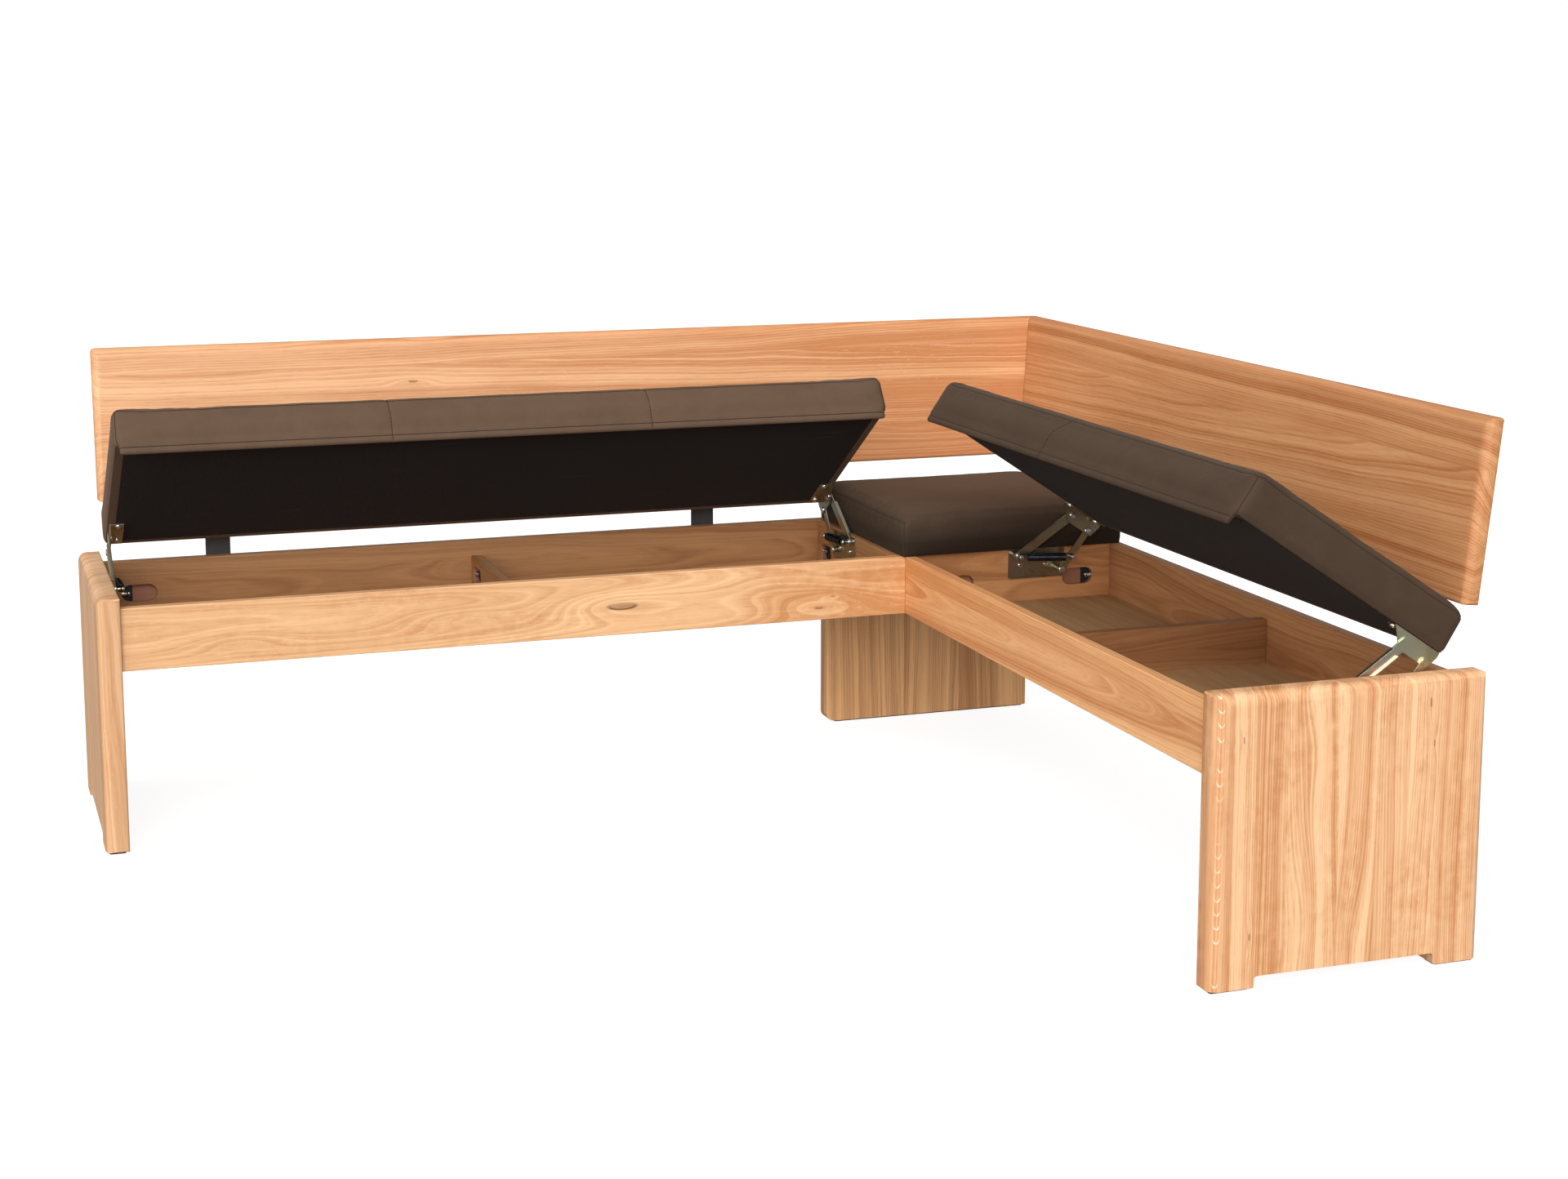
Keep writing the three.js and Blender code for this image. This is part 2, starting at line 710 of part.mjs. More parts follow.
function basePlate(frame, name, plane, linkTop) {
  const front = frontPivot.x - plateFrontMargin;
  const rear = rearPivot.x + plateRearMargin;
  const top = railTop - plateTopDrop;
  const bottom = rearPivot.y - plateBottomMargin;
  const sheet = outline([
    [front, bottom, plateCornerRadius],
    [rear, bottom, plateCornerRadius],
    [rear, top, plateCornerRadius],
    [front, top, plateCornerRadius],
  ]);
  const back = hingeFit + plateMetal;
  const plate = prism("x", sheet, hingeFit, back);
  const lip = block(
    [hingeFit, hingeFit + plateLip],
    [front + plateCornerRadius, rear - plateCornerRadius],
    [bottom, bottom + plateMetal],
  );
  const inPlate = hingeFit + plateMetal / 2;
  const studEnd = plane + springPlane + springStudTail;
  const frontStud = [
    [spacerRadius, plane - hingeFit],
    [pivotRadius, linkTop + hingeFit],
    [rivetHeadRadius, linkTop + hingeFit + rivetHeadHeight],
    [springStudRadius, studEnd],
    [springStudHeadRadius, studEnd + rivetHeadHeight],
  ];
  const rearStud = [
    [spacerRadius, plane - hingeFit],
    [pivotRadius, linkTop + hingeFit],
    [rivetHeadRadius, linkTop + hingeFit + rivetHeadHeight],
  ];
  const screws = screwPlaces.map(([along, down]) => {
    const [y, z] = [frontPivot.x + along, frontPivot.y - down];
    return turned(inPlate, [[screwRadius, back + screwHead]], y, z, roundSides / 2);
  });
  const whole = joined(
    plate,
    lip,
    turned(inPlate, frontStud, frontPivot.x, frontPivot.y),
    turned(inPlate, rearStud, rearPivot.x, rearPivot.y),
    ...screws,
  );
  piece(frame, name + "base_plate", whole, "zinc");
}

// A pressed channel from the front pivot to the lid's front rivet, drawn along Y from its pivot
function frontLink(frame, name, plane, linkTop) {
  const length = shutFrontArm.length();
  const half = frontLinkHalfWidth;
  const shape = outline([
    [-half, -half, half],
    [length + half, -half, half],
    [length + half, half, half],
    [-half, half, half],
  ]);
  const web = prism("x", shape, plane, linkTop);
  const run = [flangeLowEnd, length - flangeHighEnd];
  const sides = [-1, 1].map((way) => {
    const limits = way < 0 ? [-half, -half + flangeMetal] : [half - flangeMetal, half];
    return block([plane - flangeDepth, linkTop - linkMetal / 2], run, limits);
  });
  const outer = linkTop + 2 * runningGap + plateMetal;
  const rivet = [
    [pivotRadius, outer],
    [rivetHeadRadius, outer + rivetHeadHeight],
  ];
  const body = joined(web, ...sides, turned(linkTop - linkMetal / 2, rivet, length, 0));
  const hole = turned(plane - cutOverrun, [[pivotRadius + pivotClearance, linkTop + runningGap / 2]], 0, 0);
  const link = piece(frame, name + "front_link", cut(body, hole), "zinc");
  link.position.set(0, frontPivot.x, frontPivot.y);
  link.rotation.x = openHinge.frontAngle;
}

// A flat bar from the rear pivot to the lid's rear rivet, with the stud that holds the spring
function rearLink(frame, name, plane, linkTop) {
  const length = shutRearArm.length();
  const half = rearLinkHalfWidth;
  const shape = outline([
    [-linkEndRadius, -half, half],
    [length + linkEndRadius, -half, half],
    [length + linkEndRadius, half, half],
    [-linkEndRadius, half, half],
  ]);
  const bar = prism("x", shape, plane, linkTop);
  const studEnd = plane + springPlane + springStudTail;
  const stud = [
    [pivotRadius, plane + springPlane - springStudTail],
    [springStudRadius, studEnd],
    [springStudHeadRadius, studEnd + rivetHeadHeight],
  ];
  const head = [[rivetHeadRadius, plane + linkMetal / 2]];
  const body = joined(
    bar,
    turned(plane + linkMetal / 2, stud, springStudReach, 0),
    turned(plane - rivetHeadHeight, head, length, 0),
  );
  const hole = turned(plane - cutOverrun, [[pivotRadius + pivotClearance, linkTop + cutOverrun]], 0, 0);
  const link = piece(frame, name + "rear_link", cut(body, hole), "zinc");
  link.position.set(0, rearPivot.x, rearPivot.y);
  link.rotation.x = openHinge.rearAngle;
}

// The bracket under the lid: a cheek for the two rivets and a flange bolted to the board
function lidBracket(frame, name, near) {
  const far = near + plateMetal;
  const top = lidUnderside - hingeFit;
  const cheek = outline(
    [
      [cheekFrontReach, 0],
      [cheekFrontKnee, cheekKneeDrop],
      [cheekFrontFoot, cheekDepth],
      [-cheekRearFoot, cheekDepth],
      [-cheekRearReach, cheekRearDrop],
      [-cheekRearReach, 0],
    ].map(([ahead, below]) => [shutRearRivet.x - ahead, top - below, plateCornerRadius / 2]),
  );
  const plate = prism("x", cheek, near, far);
  const front = shutRearRivet.x - cheekFrontReach + plateCornerRadius;
  const rear = shutRearRivet.x + cheekRearReach - plateCornerRadius;
  const flange = block([near, near + bracketFlange], [front, rear], [top - plateMetal, top]);
  const headHeight = lidBoltHead + plateMetal / 2;
  const middle = top - plateMetal - lidBoltHead + headHeight / 2;
  const bolts = lidBoltReaches.map((ahead) => {
    const head = new THREE.CylinderGeometry(lidBoltRadius, lidBoltRadius, headHeight, roundSides / 2);
    head.rotateX(Math.PI / 2);
    return head.translate(near + bracketFlange / 2 + lidBoltRadius / 2, shutRearRivet.x - ahead, middle);
  });
  const rivetSteps = [[rivetHeadRadius, far + rivetHeadHeight]];
  const rivet = turned(near + plateMetal / 2, rivetSteps, shutRearRivet.x, shutRearRivet.y);
  const body = joined(plate, flange, ...bolts, rivet);
  const holeSteps = [[pivotRadius + pivotClearance, far + cutOverrun]];
  const hole = turned(near - cutOverrun, holeSteps, shutFrontRivet.x, shutFrontRivet.y);
  piece(frame, name + "lid_bracket", cut(body, hole), "zinc");
}

// A wire swept through points, as one closed tube
function wire(points, radius, sides) {
  const tangents = points.map((point, i) => {
    const before = points[Math.max(0, i - 1)];
    const after = points[Math.min(points.length - 1, i + 1)];
    return after.clone().sub(before).normalize();
  });
  const normal = new THREE.Vector3(1, 0, 0).cross(tangents[0]).normalize();
  const vertices = [];
  points.forEach((point, i) => {
    if (i > 0) {
      const turn = new THREE.Quaternion().setFromUnitVectors(tangents[i - 1], tangents[i]);
      normal.applyQuaternion(turn);
    }
    const side = tangents[i].clone().cross(normal);
    for (let n = 0; n < sides; n += 1) {
      const angle = (2 * Math.PI * n) / sides;
      const spoke = normal.clone().multiplyScalar(Math.cos(angle)).addScaledVector(side, Math.sin(angle));
      vertices.push(...point.clone().addScaledVector(spoke, radius).toArray());
    }
  });
  const index = [];
  for (let i = 0; i < points.length - 1; i += 1) {
    for (let n = 0; n < sides; n += 1) {
      const a = i * sides + n;
      const b = i * sides + ((n + 1) % sides);
      index.push(a, b, b + sides, a, b + sides, a + sides);
    }
  }
  const last = (points.length - 1) * sides;
  for (let n = 1; n < sides - 1; n += 1) {
    index.push(0, n + 1, n);
    index.push(last, last + n, last + n + 1);
  }
  const geometry = new THREE.BufferGeometry();
  geometry.setAttribute("position", new THREE.Float32BufferAttribute(vertices, 3));
  geometry.setIndex(index);
  return geometry;
}

// The route of a spring's wire: a hook round each stud and a coil between them.
// The line between the studs is the first axis, the studs' own direction the third.
function springRoute(span) {
  const hook = springStudRadius + springHookGap + springWireRadius;
  const coil = springCoilRadius;
  const points = [];
  const hookTurn = THREE.MathUtils.degToRad(springHookTurn);
  for (let n = 0; n <= hookSteps; n += 1) {
    const angle = -Math.PI / 2 - hookTurn + (hookTurn * n) / hookSteps;
    points.push(new THREE.Vector3(Math.cos(angle) * hook, Math.sin(angle) * hook, 0));
  }
  points.push(new THREE.Vector3(springHookRun - springHookBend, -coil, 0));
  const run = span - 2 * springHookRun;
  const steps = springCurls * curlSteps;
  for (let n = 0; n <= steps; n += 1) {
    const angle = (2 * Math.PI * n) / curlSteps;
    const along = springHookRun + (run * n) / steps;
    points.push(new THREE.Vector3(along, -coil * Math.cos(angle), coil * Math.sin(angle)));
  }
  points.push(new THREE.Vector3(span - springHookRun + springHookBend, -coil, 0));
  for (let n = 0; n <= hookSteps; n += 1) {
    const angle = -Math.PI / 2 + (hookTurn * n) / hookSteps;
    points.push(new THREE.Vector3(span + Math.cos(angle) * hook, Math.sin(angle) * hook, 0));
  }
  return points;
}

function leastGap(points, radius, apart) {
  let least = Infinity;
  points.forEach((point, i) => {
    points.slice(i + apart).forEach((other) => {
      least = Math.min(least, point.distanceTo(other) - 2 * radius);
    });
  });
  return least;
}

function spring(frame, name, plane) {
  const turn = openHinge.rearAngle;
  const reach = new THREE.Vector2(springStudReach, 0).rotateAround(new THREE.Vector2(0, 0), turn);
  const far = rearPivot.clone().add(reach);
  const line = far.clone().sub(frontPivot);
  const points = springRoute(line.length());
  const gap = leastGap(points, springWireRadius, curlSteps / 2);
  console.log(name + "spring: least gap to itself " + gap.toFixed(2) + " mm");
  const coil = wire(points, springWireRadius, wireSides).applyMatrix4(alongX);
  const mesh = piece(frame, name + "spring", coil, "springSteel");
  mesh.position.set(plane + springPlane, frontPivot.x, frontPivot.y);
  mesh.rotation.x = line.angle();
}

// The corner: leg panel, box panels, bottom and fixed seat, drawn in the bench's own frame
function corner(bench) {
  const bottom = glideThickness + woodFit;
  const front = innerBack + woodFit;
  const face = outline([
    [0, bottom, legBottomRadius],
    [depth, bottom, legEdgeRadius],
    [depth, railTop - woodFit],
    [0, railTop - woodFit],
  ]);
  const plan = outline([
    [0, front, legEdgeRadius],
    [depth, front, legEdgeRadius],
    [depth, front + legThickness, legEdgeRadius],
    [0, front + legThickness, legEdgeRadius],
  ]);
  const leg = common(prism("y", face, front, front + legThickness), prism("z", plan, bottom, railTop));
  piece(bench, "corner_leg_panel", leg, "innerOak");
  const pad = outline([
    [legBottomRadius, front + glideInset, glideCornerRadius],
    [depth - glideInset, front + glideInset, glideCornerRadius],
    [depth - glideInset, front + legThickness - glideInset, glideCornerRadius],
    [legBottomRadius, front + legThickness - glideInset, glideCornerRadius],
  ]);
  piece(bench, "corner_leg_glide", prism("z", pad, 0, glideThickness), "glide");
  sidePanel(bench);
  frontPanel(bench);
  const floor = [railBottom - bottomDrop, railBottom - bottomDrop + bottomThickness];
  const boxFront = frontPanelSetback + frontPanelThickness + woodFit;
  const boxRear = innerBack - woodFit;
  const board = block([railThickness + woodFit, boxRear], [boxFront, boxRear], floor);
  piece(bench, "corner_bottom", board, "bottomBoard");
  const square = [-cornerSeatReach, depth];
  seat(bench, "corner_seat", square, square, railTop + seatFit, cornerSeatCrown, [], false);
}

// The box panel that faces the long side's compartment, with the pocket near the back
function sidePanel(bench) {
  const y = [railThickness + woodFit, innerBack - woodFit];
  const panel = block([-sidePanelThickness, 0], y, [railBottom, railTop - woodFit]);
  const end = innerBack - woodFit - pocketMargin / 2;
  const pocket = pocketOutline(end - pocketLength, end);
  const recess = prism("x", pocket, -sidePanelThickness - cutOverrun, -sidePanelThickness + pocketDepth);
  piece(bench, "corner_side_panel", cut(panel, recess), "innerOak");
  const holder = new THREE.Group();
  holder.position.set(-sidePanelThickness + pocketDepth, end, railTop - pocketDrop);
  holder.rotation.set(Math.PI / 2, 0, -Math.PI / 2, "ZXY");
  bench.add(holder);
  piece(holder, "corner_side_connector", connector(1), "socket");
}

// The box panel that faces the short side's compartment, with a pocket near each end
function frontPanel(bench) {
  const x = [railThickness + woodFit, innerBack - woodFit];
  const front = frontPanelSetback;
  const panel = block(x, [front, front + frontPanelThickness], [railBottom, railTop - woodFit]);
  const ends = [x[0] + frontPocketMargin, x[1] - pocketMargin];
  const spans = [[ends[0], ends[0] + pocketLength], [ends[1] - pocketLength, ends[1]]];
  const recesses = spans.map(([from, to]) =>
    prism("y", pocketOutline(from, to), front - cutOverrun, front + pocketDepth),
  );
  piece(bench, "corner_front_panel", cut(panel, ...recesses), "innerOak");
  ["left", "right"].forEach((place, i) => {
    const holder = new THREE.Group();
    holder.position.set(ends[i], front + pocketDepth, railTop - pocketDrop);
    holder.rotation.x = Math.PI / 2;
    bench.add(holder);
    piece(holder, "corner_front_connector_" + place, connector(i === 0 ? 1 : -1), "socket");
  });
}

const longSide = {
  name: "long",
  frame: new THREE.Group(),
  length: longLength,
  innerEnd: longLength - endThickness,
  backRailStart: 0,
  backRailPocket: true,
  cornerFace: sidePanelThickness,
  divider: longDividerPlace,
  dividerDrop: longDividerDrop,
  dividerPocket: true,
  outerBracket: outerBracketPlace,
  innerBracket: innerBracketPlace,
  lidStart: longLidStart,
  seams: longSeamPlaces,
};
const shortSide = {
  name: "short",
  frame: new THREE.Group(),
  length: shortLength,
  innerEnd: shortLength - endThickness,
  backRailStart: -innerBack,
  backRailPocket: false,
  cornerFace: -frontPanelSetback,
  divider: shortDividerPlace,
  dividerDrop: shortDividerDrop,
  dividerPocket: false,
  outerBracket: shortOuterBracketPlace,
  innerBracket: shortInnerBracketPlace,
  lidStart: shortLidStart,
  seams: shortSeamPlaces,
};
longSide.frame.scale.x = -1;
shortSide.frame.rotation.z = -Math.PI / 2;

const bench = new THREE.Group();
[longSide, shortSide].forEach((side) => {
  bench.add(side.frame);
  frontRail(side);
  backRail(side);
  endPanel(side);
  compartment(side);
  backrest(side);
  lid(side);
  hinge(side, "outer", side.innerEnd, -1, linkPlane);
});
hinge(longSide, "corner", longSide.cornerFace, 1, linkPlane);
hinge(shortSide, "corner", shortSide.cornerFace, 1, shortLidStart + cornerLinkInset - shortSide.cornerFace);
corner(bench);

// The bench stands with the middle of its outline in plan on the origin
const reach = new THREE.Box3().setFromObject(bench);
const part = new THREE.Group();
bench.position.set(-(reach.min.x + reach.max.x) / 2, -(reach.min.y + reach.max.y) / 2, -reach.min.z);
part.add(bench);

export default part;
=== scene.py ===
import math
import bmesh
import bpy
from mathutils import Matrix, Vector, noise
from mathutils.bvhtree import BVHTree
from mathutils.kdtree import KDTree


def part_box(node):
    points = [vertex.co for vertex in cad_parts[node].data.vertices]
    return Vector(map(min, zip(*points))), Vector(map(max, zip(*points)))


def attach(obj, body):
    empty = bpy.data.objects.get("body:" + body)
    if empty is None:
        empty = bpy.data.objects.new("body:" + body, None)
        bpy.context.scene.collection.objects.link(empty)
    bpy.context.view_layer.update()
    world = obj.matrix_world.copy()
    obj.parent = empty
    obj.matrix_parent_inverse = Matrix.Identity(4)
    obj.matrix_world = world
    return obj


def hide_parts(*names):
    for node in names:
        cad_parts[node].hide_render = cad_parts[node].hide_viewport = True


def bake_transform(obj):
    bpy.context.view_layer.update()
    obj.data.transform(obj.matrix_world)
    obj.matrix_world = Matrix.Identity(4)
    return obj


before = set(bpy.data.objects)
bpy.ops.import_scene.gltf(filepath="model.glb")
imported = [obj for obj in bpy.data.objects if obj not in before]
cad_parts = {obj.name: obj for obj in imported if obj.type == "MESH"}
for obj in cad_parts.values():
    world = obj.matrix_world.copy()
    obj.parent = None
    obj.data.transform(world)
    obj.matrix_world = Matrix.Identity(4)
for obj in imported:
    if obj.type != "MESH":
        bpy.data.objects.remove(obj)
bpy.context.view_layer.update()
MM = 0.001

# Each side of the bench has a frame of its own, in millimetres: the first axis runs outwards from
# the inside corner, the second from the rails' visible faces to the back, the third upwards.
CORNER = Matrix.Translation((0.4977385, 0.3702385, 0.0))
LONG = CORNER @ Matrix(((-MM, 0, 0, 0), (0, MM, 0, 0), (0, 0, MM, 0), (0, 0, 0, 1)))
SHORT = CORNER @ Matrix(((0, MM, 0, 0), (-MM, 0, 0, 0), (0, 0, MM, 0), (0, 0, 0, 1)))
SIDES = {"long": LONG, "short": SHORT}

# The lids are drawn shut and then opened about the front links' upper rivets, as the frame has them
LID_UNDERSIDE = 430.5
LID_TURN = math.radians(-33.4543006)
FRONT_RIVET_OPEN, FRONT_RIVET_SHUT = (334.1813, 493.3857), (356.3, 415.3)
OPEN_LID = (
    Matrix.Translation((0, *FRONT_RIVET_OPEN))
    @ Matrix.Rotation(LID_TURN, 4, "X")
    @ Matrix.Translation((0, -FRONT_RIVET_SHUT[0], -FRONT_RIVET_SHUT[1]))
)
FRONT_PIVOT = Vector((224.0, 420.0))
REAR_PIVOT = Vector((314.0, 389.0))
FRONT_LINK_TURN, FRONT_LINK_LENGTH = math.radians(33.6654047), 132.383
REAR_LINK_TURN, STUD_ON_REAR_LINK = math.radians(53.7785170), 31.0


# ---- finishes


class Reading:
    """A socket's value, on which formulas can be written."""

    def __init__(self, finish, socket):
        self.finish, self.socket = finish, socket

    def math(self, operation, *others):
        values = dict(enumerate((self, *others)))
        return self.finish.node("Math", {"operation": operation}, values)

    def __add__(self, other):
        return self.math("ADD", other)

    def __radd__(self, other):
        return self.math("ADD", other)

    def __sub__(self, other):
        return self.math("SUBTRACT", other)

    def __rsub__(self, other):
        return self.finish.node("Math", {"operation": "SUBTRACT"}, {0: other, 1: self})

    def __mul__(self, other):
        return self.math("MULTIPLY", other)

    def above(self, level):
        return self.math("GREATER_THAN", level)

    def between(self, low, high):
        settings = {"clamp": True}
        return self.finish.node("MapRange", settings, {0: self, 1: low, 2: high, 3: 0.0, 4: 1.0})


class Finish:
    """A material in the making. All lengths in it are in metres."""

    def __init__(self, name, **uniform):
        self.material = bpy.data.materials.new(name)
        self.material.use_nodes = True
        self.tree = self.material.node_tree
        self.shader = self.tree.nodes["Principled BSDF"]
        for socket, value in uniform.items():
            socket = socket.replace("_", " ").title().replace("Ior", "IOR")
            self.shader.inputs[socket].default_value = value

    def node(self, kind, settings, inputs, output=0):
        node = self.tree.nodes.new("ShaderNode" + kind)
        for name, value in settings.items():
            if name == "stops":
                ramp = node.color_ramp
                while len(ramp.elements) < len(value):
                    ramp.elements.new(0.5)
                for element, (place, tone) in zip(ramp.elements, value):
                    element.position, element.color = place, (*tone, 1.0)
            else:
                setattr(node, name, value)
        for name, value in inputs.items():
            socket = node.inputs[name]
            if isinstance(value, Reading):
                self.tree.links.new(value.socket, socket)
            else:
                socket.default_value = value
        return Reading(self, node.outputs[output])

    def place(self):
        """Object coordinates as a vector and as three numbers."""
        whole = self.node("TexCoord", {}, {}, "Object")
        parts = self.node("SeparateXYZ", {}, {0: whole})
        outputs = parts.socket.node.outputs
        return whole, [Reading(self, outputs[axis]) for axis in range(3)]

    def join(self, x, y, z):
        return self.node("CombineXYZ", {}, {0: x, 1: y, 2: z})

    def noise(self, vector, scale, detail=2.0, roughness=0.5):
        inputs = {"Vector": vector, "Scale": scale, "Detail": detail, "Roughness": roughness}
        return self.node("TexNoise", {}, inputs)

    def line_noise(self, value, scale, roughness):
        inputs = {"W": value, "Scale": scale, "Detail": 2.0, "Roughness": roughness}
        return self.node("TexNoise", {"noise_dimensions": "1D"}, inputs)

    def mix(self, share, first, second, kind="MIX"):
        settings = {"data_type": "RGBA", "blend_type": kind, "clamp_factor": True}
        first = (*first, 1.0) if isinstance(first, tuple) else first
        second = (*second, 1.0) if isinstance(second, tuple) else second
        return self.node("Mix", settings, {0: share, 6: first, 7: second}, 2)

    def bump(self, height, distance, strength=1.0):
        inputs = {"Height": height, "Distance": distance, "Strength": strength}
        return self.node("Bump", {}, inputs)

    def give(self, **readings):
        for name, reading in readings.items():
            socket = self.shader.inputs[name.replace("_", " ").title()]
            self.tree.links.new(reading.socket, socket)
        return self.material


RINGS_PER_METRE = 240.0


def oiled_oak(
    name, along, across, tones, staves, seed, pith=None, slope=0.03,
    knots=(), eyes=(), curl=0.0, steps=(), marks=None, deeper=None, pockets=(), contrast=1.0,
):
    """Solid oak glued from staves. along and across are the axes of the grain and of the width.

    tones are the light and the dark wood, staves the glue lines' places, pith the heart's place in
    a board without them. slope is how fast the rings run out along the grain, knots and eyes are
    (along, across, size) of what they bend round, curl is the strength of cross bands, steps each
    stave's tone, marks the place of a row of pale crescents, deeper (start, end, amount) of a
    stretch drawn darker as painted shade, and pockets spans along, across and through of freshly
    cut wood.
    """
    light, dark = tones
    finish = Finish(name, specular_ior_level=0.35, coat_weight=0.05, coat_roughness=0.35)
    _, axes = finish.place()
    a, b, c = axes[along], axes[across], axes[3 - along - across]

    # Each stave takes its own centre, growth, slope and tint from its number
    stave = a * 0.0 + seed
    depth_of_tone = a * 0.0 + (steps[0] if steps else 0.0)
    for index, edge in enumerate(staves):
        stave = stave + b.above(edge)
        if steps:
            depth_of_tone = depth_of_tone + b.above(edge) * (steps[index + 1] - steps[index])
    chance = finish.node("TexWhiteNoise", {"noise_dimensions": "1D"}, {"W": stave}, 1)
    picks = finish.node("SeparateColor", {}, {0: chance}).socket.node.outputs
    first, second, third = (Reading(finish, output) for output in picks)
    low, high = (staves[0] - 0.06, staves[-1] + 0.06) if staves else (pith - 0.02, pith + 0.02)

    # The growth rings: a cone round the heart of the log, bent by the tree's own sway
    sway = finish.noise(finish.join(a * 1.1 + stave * 3.7, b * 4.0, c * 3.0), 1.0, 3.0, 0.5)
    ripple = finish.noise(finish.join(a * 7.0 + stave, b * 40.0, c * 10.0), 1.0, 2.0)
    flow = b + (sway - 0.5) * 0.022 + (ripple - 0.5) * 0.0028
    off = flow - (low + first * (high - low))
    depth = (c + (0.35 + second * 0.9)).math("PINGPONG", 0.07) + 0.006 + sway * 0.055
    ring = (off * off + depth * depth).math("SQRT") + a * (third - 0.5) * (slope * 2.0) + stave * 0.31
    spots = None
    for places, is_knot in ((knots, True), (eyes, False)):
        for place_along, place_across, size in places:
            near_a, near_b = (a - place_along) * 0.22, b - place_across
            far = near_a * near_a + near_b * near_b
            pull = (far * (-1.0 / (size * size))).math("EXPONENT")
            ring = ring + pull * (size * (0.9 if is_knot else 0.65))
            if is_knot:
                # A dark crescent below, round a core half as dark
                wide_part, high_part = near_a * (5.2 / size), near_b * (4.6 / size)
                reach = (wide_part * wide_part + high_part * high_part).math("SQRT")
                rim = reach.between(0.4, 0.8) * (1.0 - reach.between(0.9, 1.15))
                rim = rim * (1.0 - high_part.between(-0.5, 0.9) * 0.75)
                inside = (1.0 - reach.between(0.7, 1.1)) * 0.5
                spot = rim.math("MAXIMUM", inside)
                spots = spot if spots is None else spots.math("MAXIMUM", spot)
    line = ring * RINGS_PER_METRE
    each = finish.node("TexWhiteNoise", {"noise_dimensions": "1D"}, {"W": line.math("FLOOR")}, 0)
    place_in_ring = line.math("FRACT")
    early = place_in_ring.between(0.0, 0.6) * (1.0 - place_in_ring.between(0.82, 1.0))
    wide = finish.line_noise(ring, 48.0, 0.6)
    fine = finish.line_noise(ring, 620.0, 0.65)

    # Fibres, pores, rays and clouds of tone that run across the rings
    fibre = finish.noise(finish.join(a * 4.0 + stave, b * 230.0, c * 230.0), 1.0, 3.0, 0.65)
    pore = finish.noise(finish.join(a * 30.0, b * 700.0, c * 700.0), 1.0, 2.0, 0.6).between(0.54, 0.68)
    cloud = finish.noise(finish.join(a * 3.0, b * 14.0 + seed, c * 14.0), 1.0, 3.0, 0.6)
    share = early * (0.08 + each * 0.30)
    share = share + (wide - 0.5) * 1.35 + (fine - 0.5) * 0.5 + (fibre - 0.5) * 0.6
    share = share + (cloud - 0.5) * 0.6 + (second - 0.5) * 0.2 - 0.15
    share = share * contrast + depth_of_tone + 0.45
    # Painted shade: a stretch of the board along its grain is drawn darker.
    if deeper:
        share = share + a.between(deeper[0], deeper[1]) * deeper[2]
    if curl:
        bands = finish.noise(finish.join(a * 44.0, b * 52.0 + stave, c * 40.0), 1.0, 2.0, 0.6)
        share = share + (bands - 0.5) * (cloud.between(0.42, 0.62) * curl)
    tone = finish.mix(share.between(0.0, 1.0), light, dark)
    tint = finish.mix(third, (1.05, 1.03, 1.02), (0.96, 0.90, 0.84))
    tone = finish.mix(1.0, tone, tint, "MULTIPLY")
    tone = finish.mix(pore * (0.05 + early * 0.2), tone, tuple(v * 0.45 for v in dark))
    fleck = finish.noise(finish.join(a * 80.0, b * 190.0, c * 300.0), 1.0, 1.0).between(0.64, 0.72)
    flecked = fleck * first.above(0.6) * cloud.between(0.45, 0.6) * 0.2
    tone = finish.mix(flecked, tone, tuple(min(1.0, v * 1.12) for v in light))
    if marks:
        aside = b - marks
        wave = (a * 46.0 + cloud * 1.2 - aside * aside * 13000.0).math("FRACT")
        arc = wave.between(0.0, 0.06) * (1.0 - wave.between(0.12, 0.2))
        arc = arc * (1.0 - aside.math("ABSOLUTE").between(0.0035, 0.0052))
        arc = arc * fibre.math("ROUND").math("MAXIMUM", 0.35)
        here = finish.noise(finish.join(a * 9.0, 0.0, 0.0), 1.0, 1.0).between(0.44, 0.5)
        tone = finish.mix(arc * here * 0.8, tone, (1.0, 0.86, 0.66))
    for (a_low, a_high), (b_low, b_high), (c_low, c_high) in pockets:
        inside = a.above(a_low) * (1.0 - a.above(a_high)) * b.above(b_low) * (1.0 - b.above(b_high))
        inside = inside * c.above(c_low) * (1.0 - c.above(c_high))
        fresh = finish.mix(fibre, (0.40, 0.175, 0.115), (0.26, 0.11, 0.07))
        tone = finish.mix(inside * 0.85, tone, fresh)
    if spots:
        tone = finish.mix(spots * 0.94, tone, (dark[0] * 0.22, dark[1] * 0.17, dark[2] * 0.14))
    rough = 0.47 + (fibre - 0.5) * 0.2 + pore * 0.1
    relief = finish.bump(fibre * 0.3 + fine * 0.2 - pore * 0.6 - early * 0.15, 0.00012, 0.6)
    return finish.give(base_color=tone, roughness=rough, normal=relief)


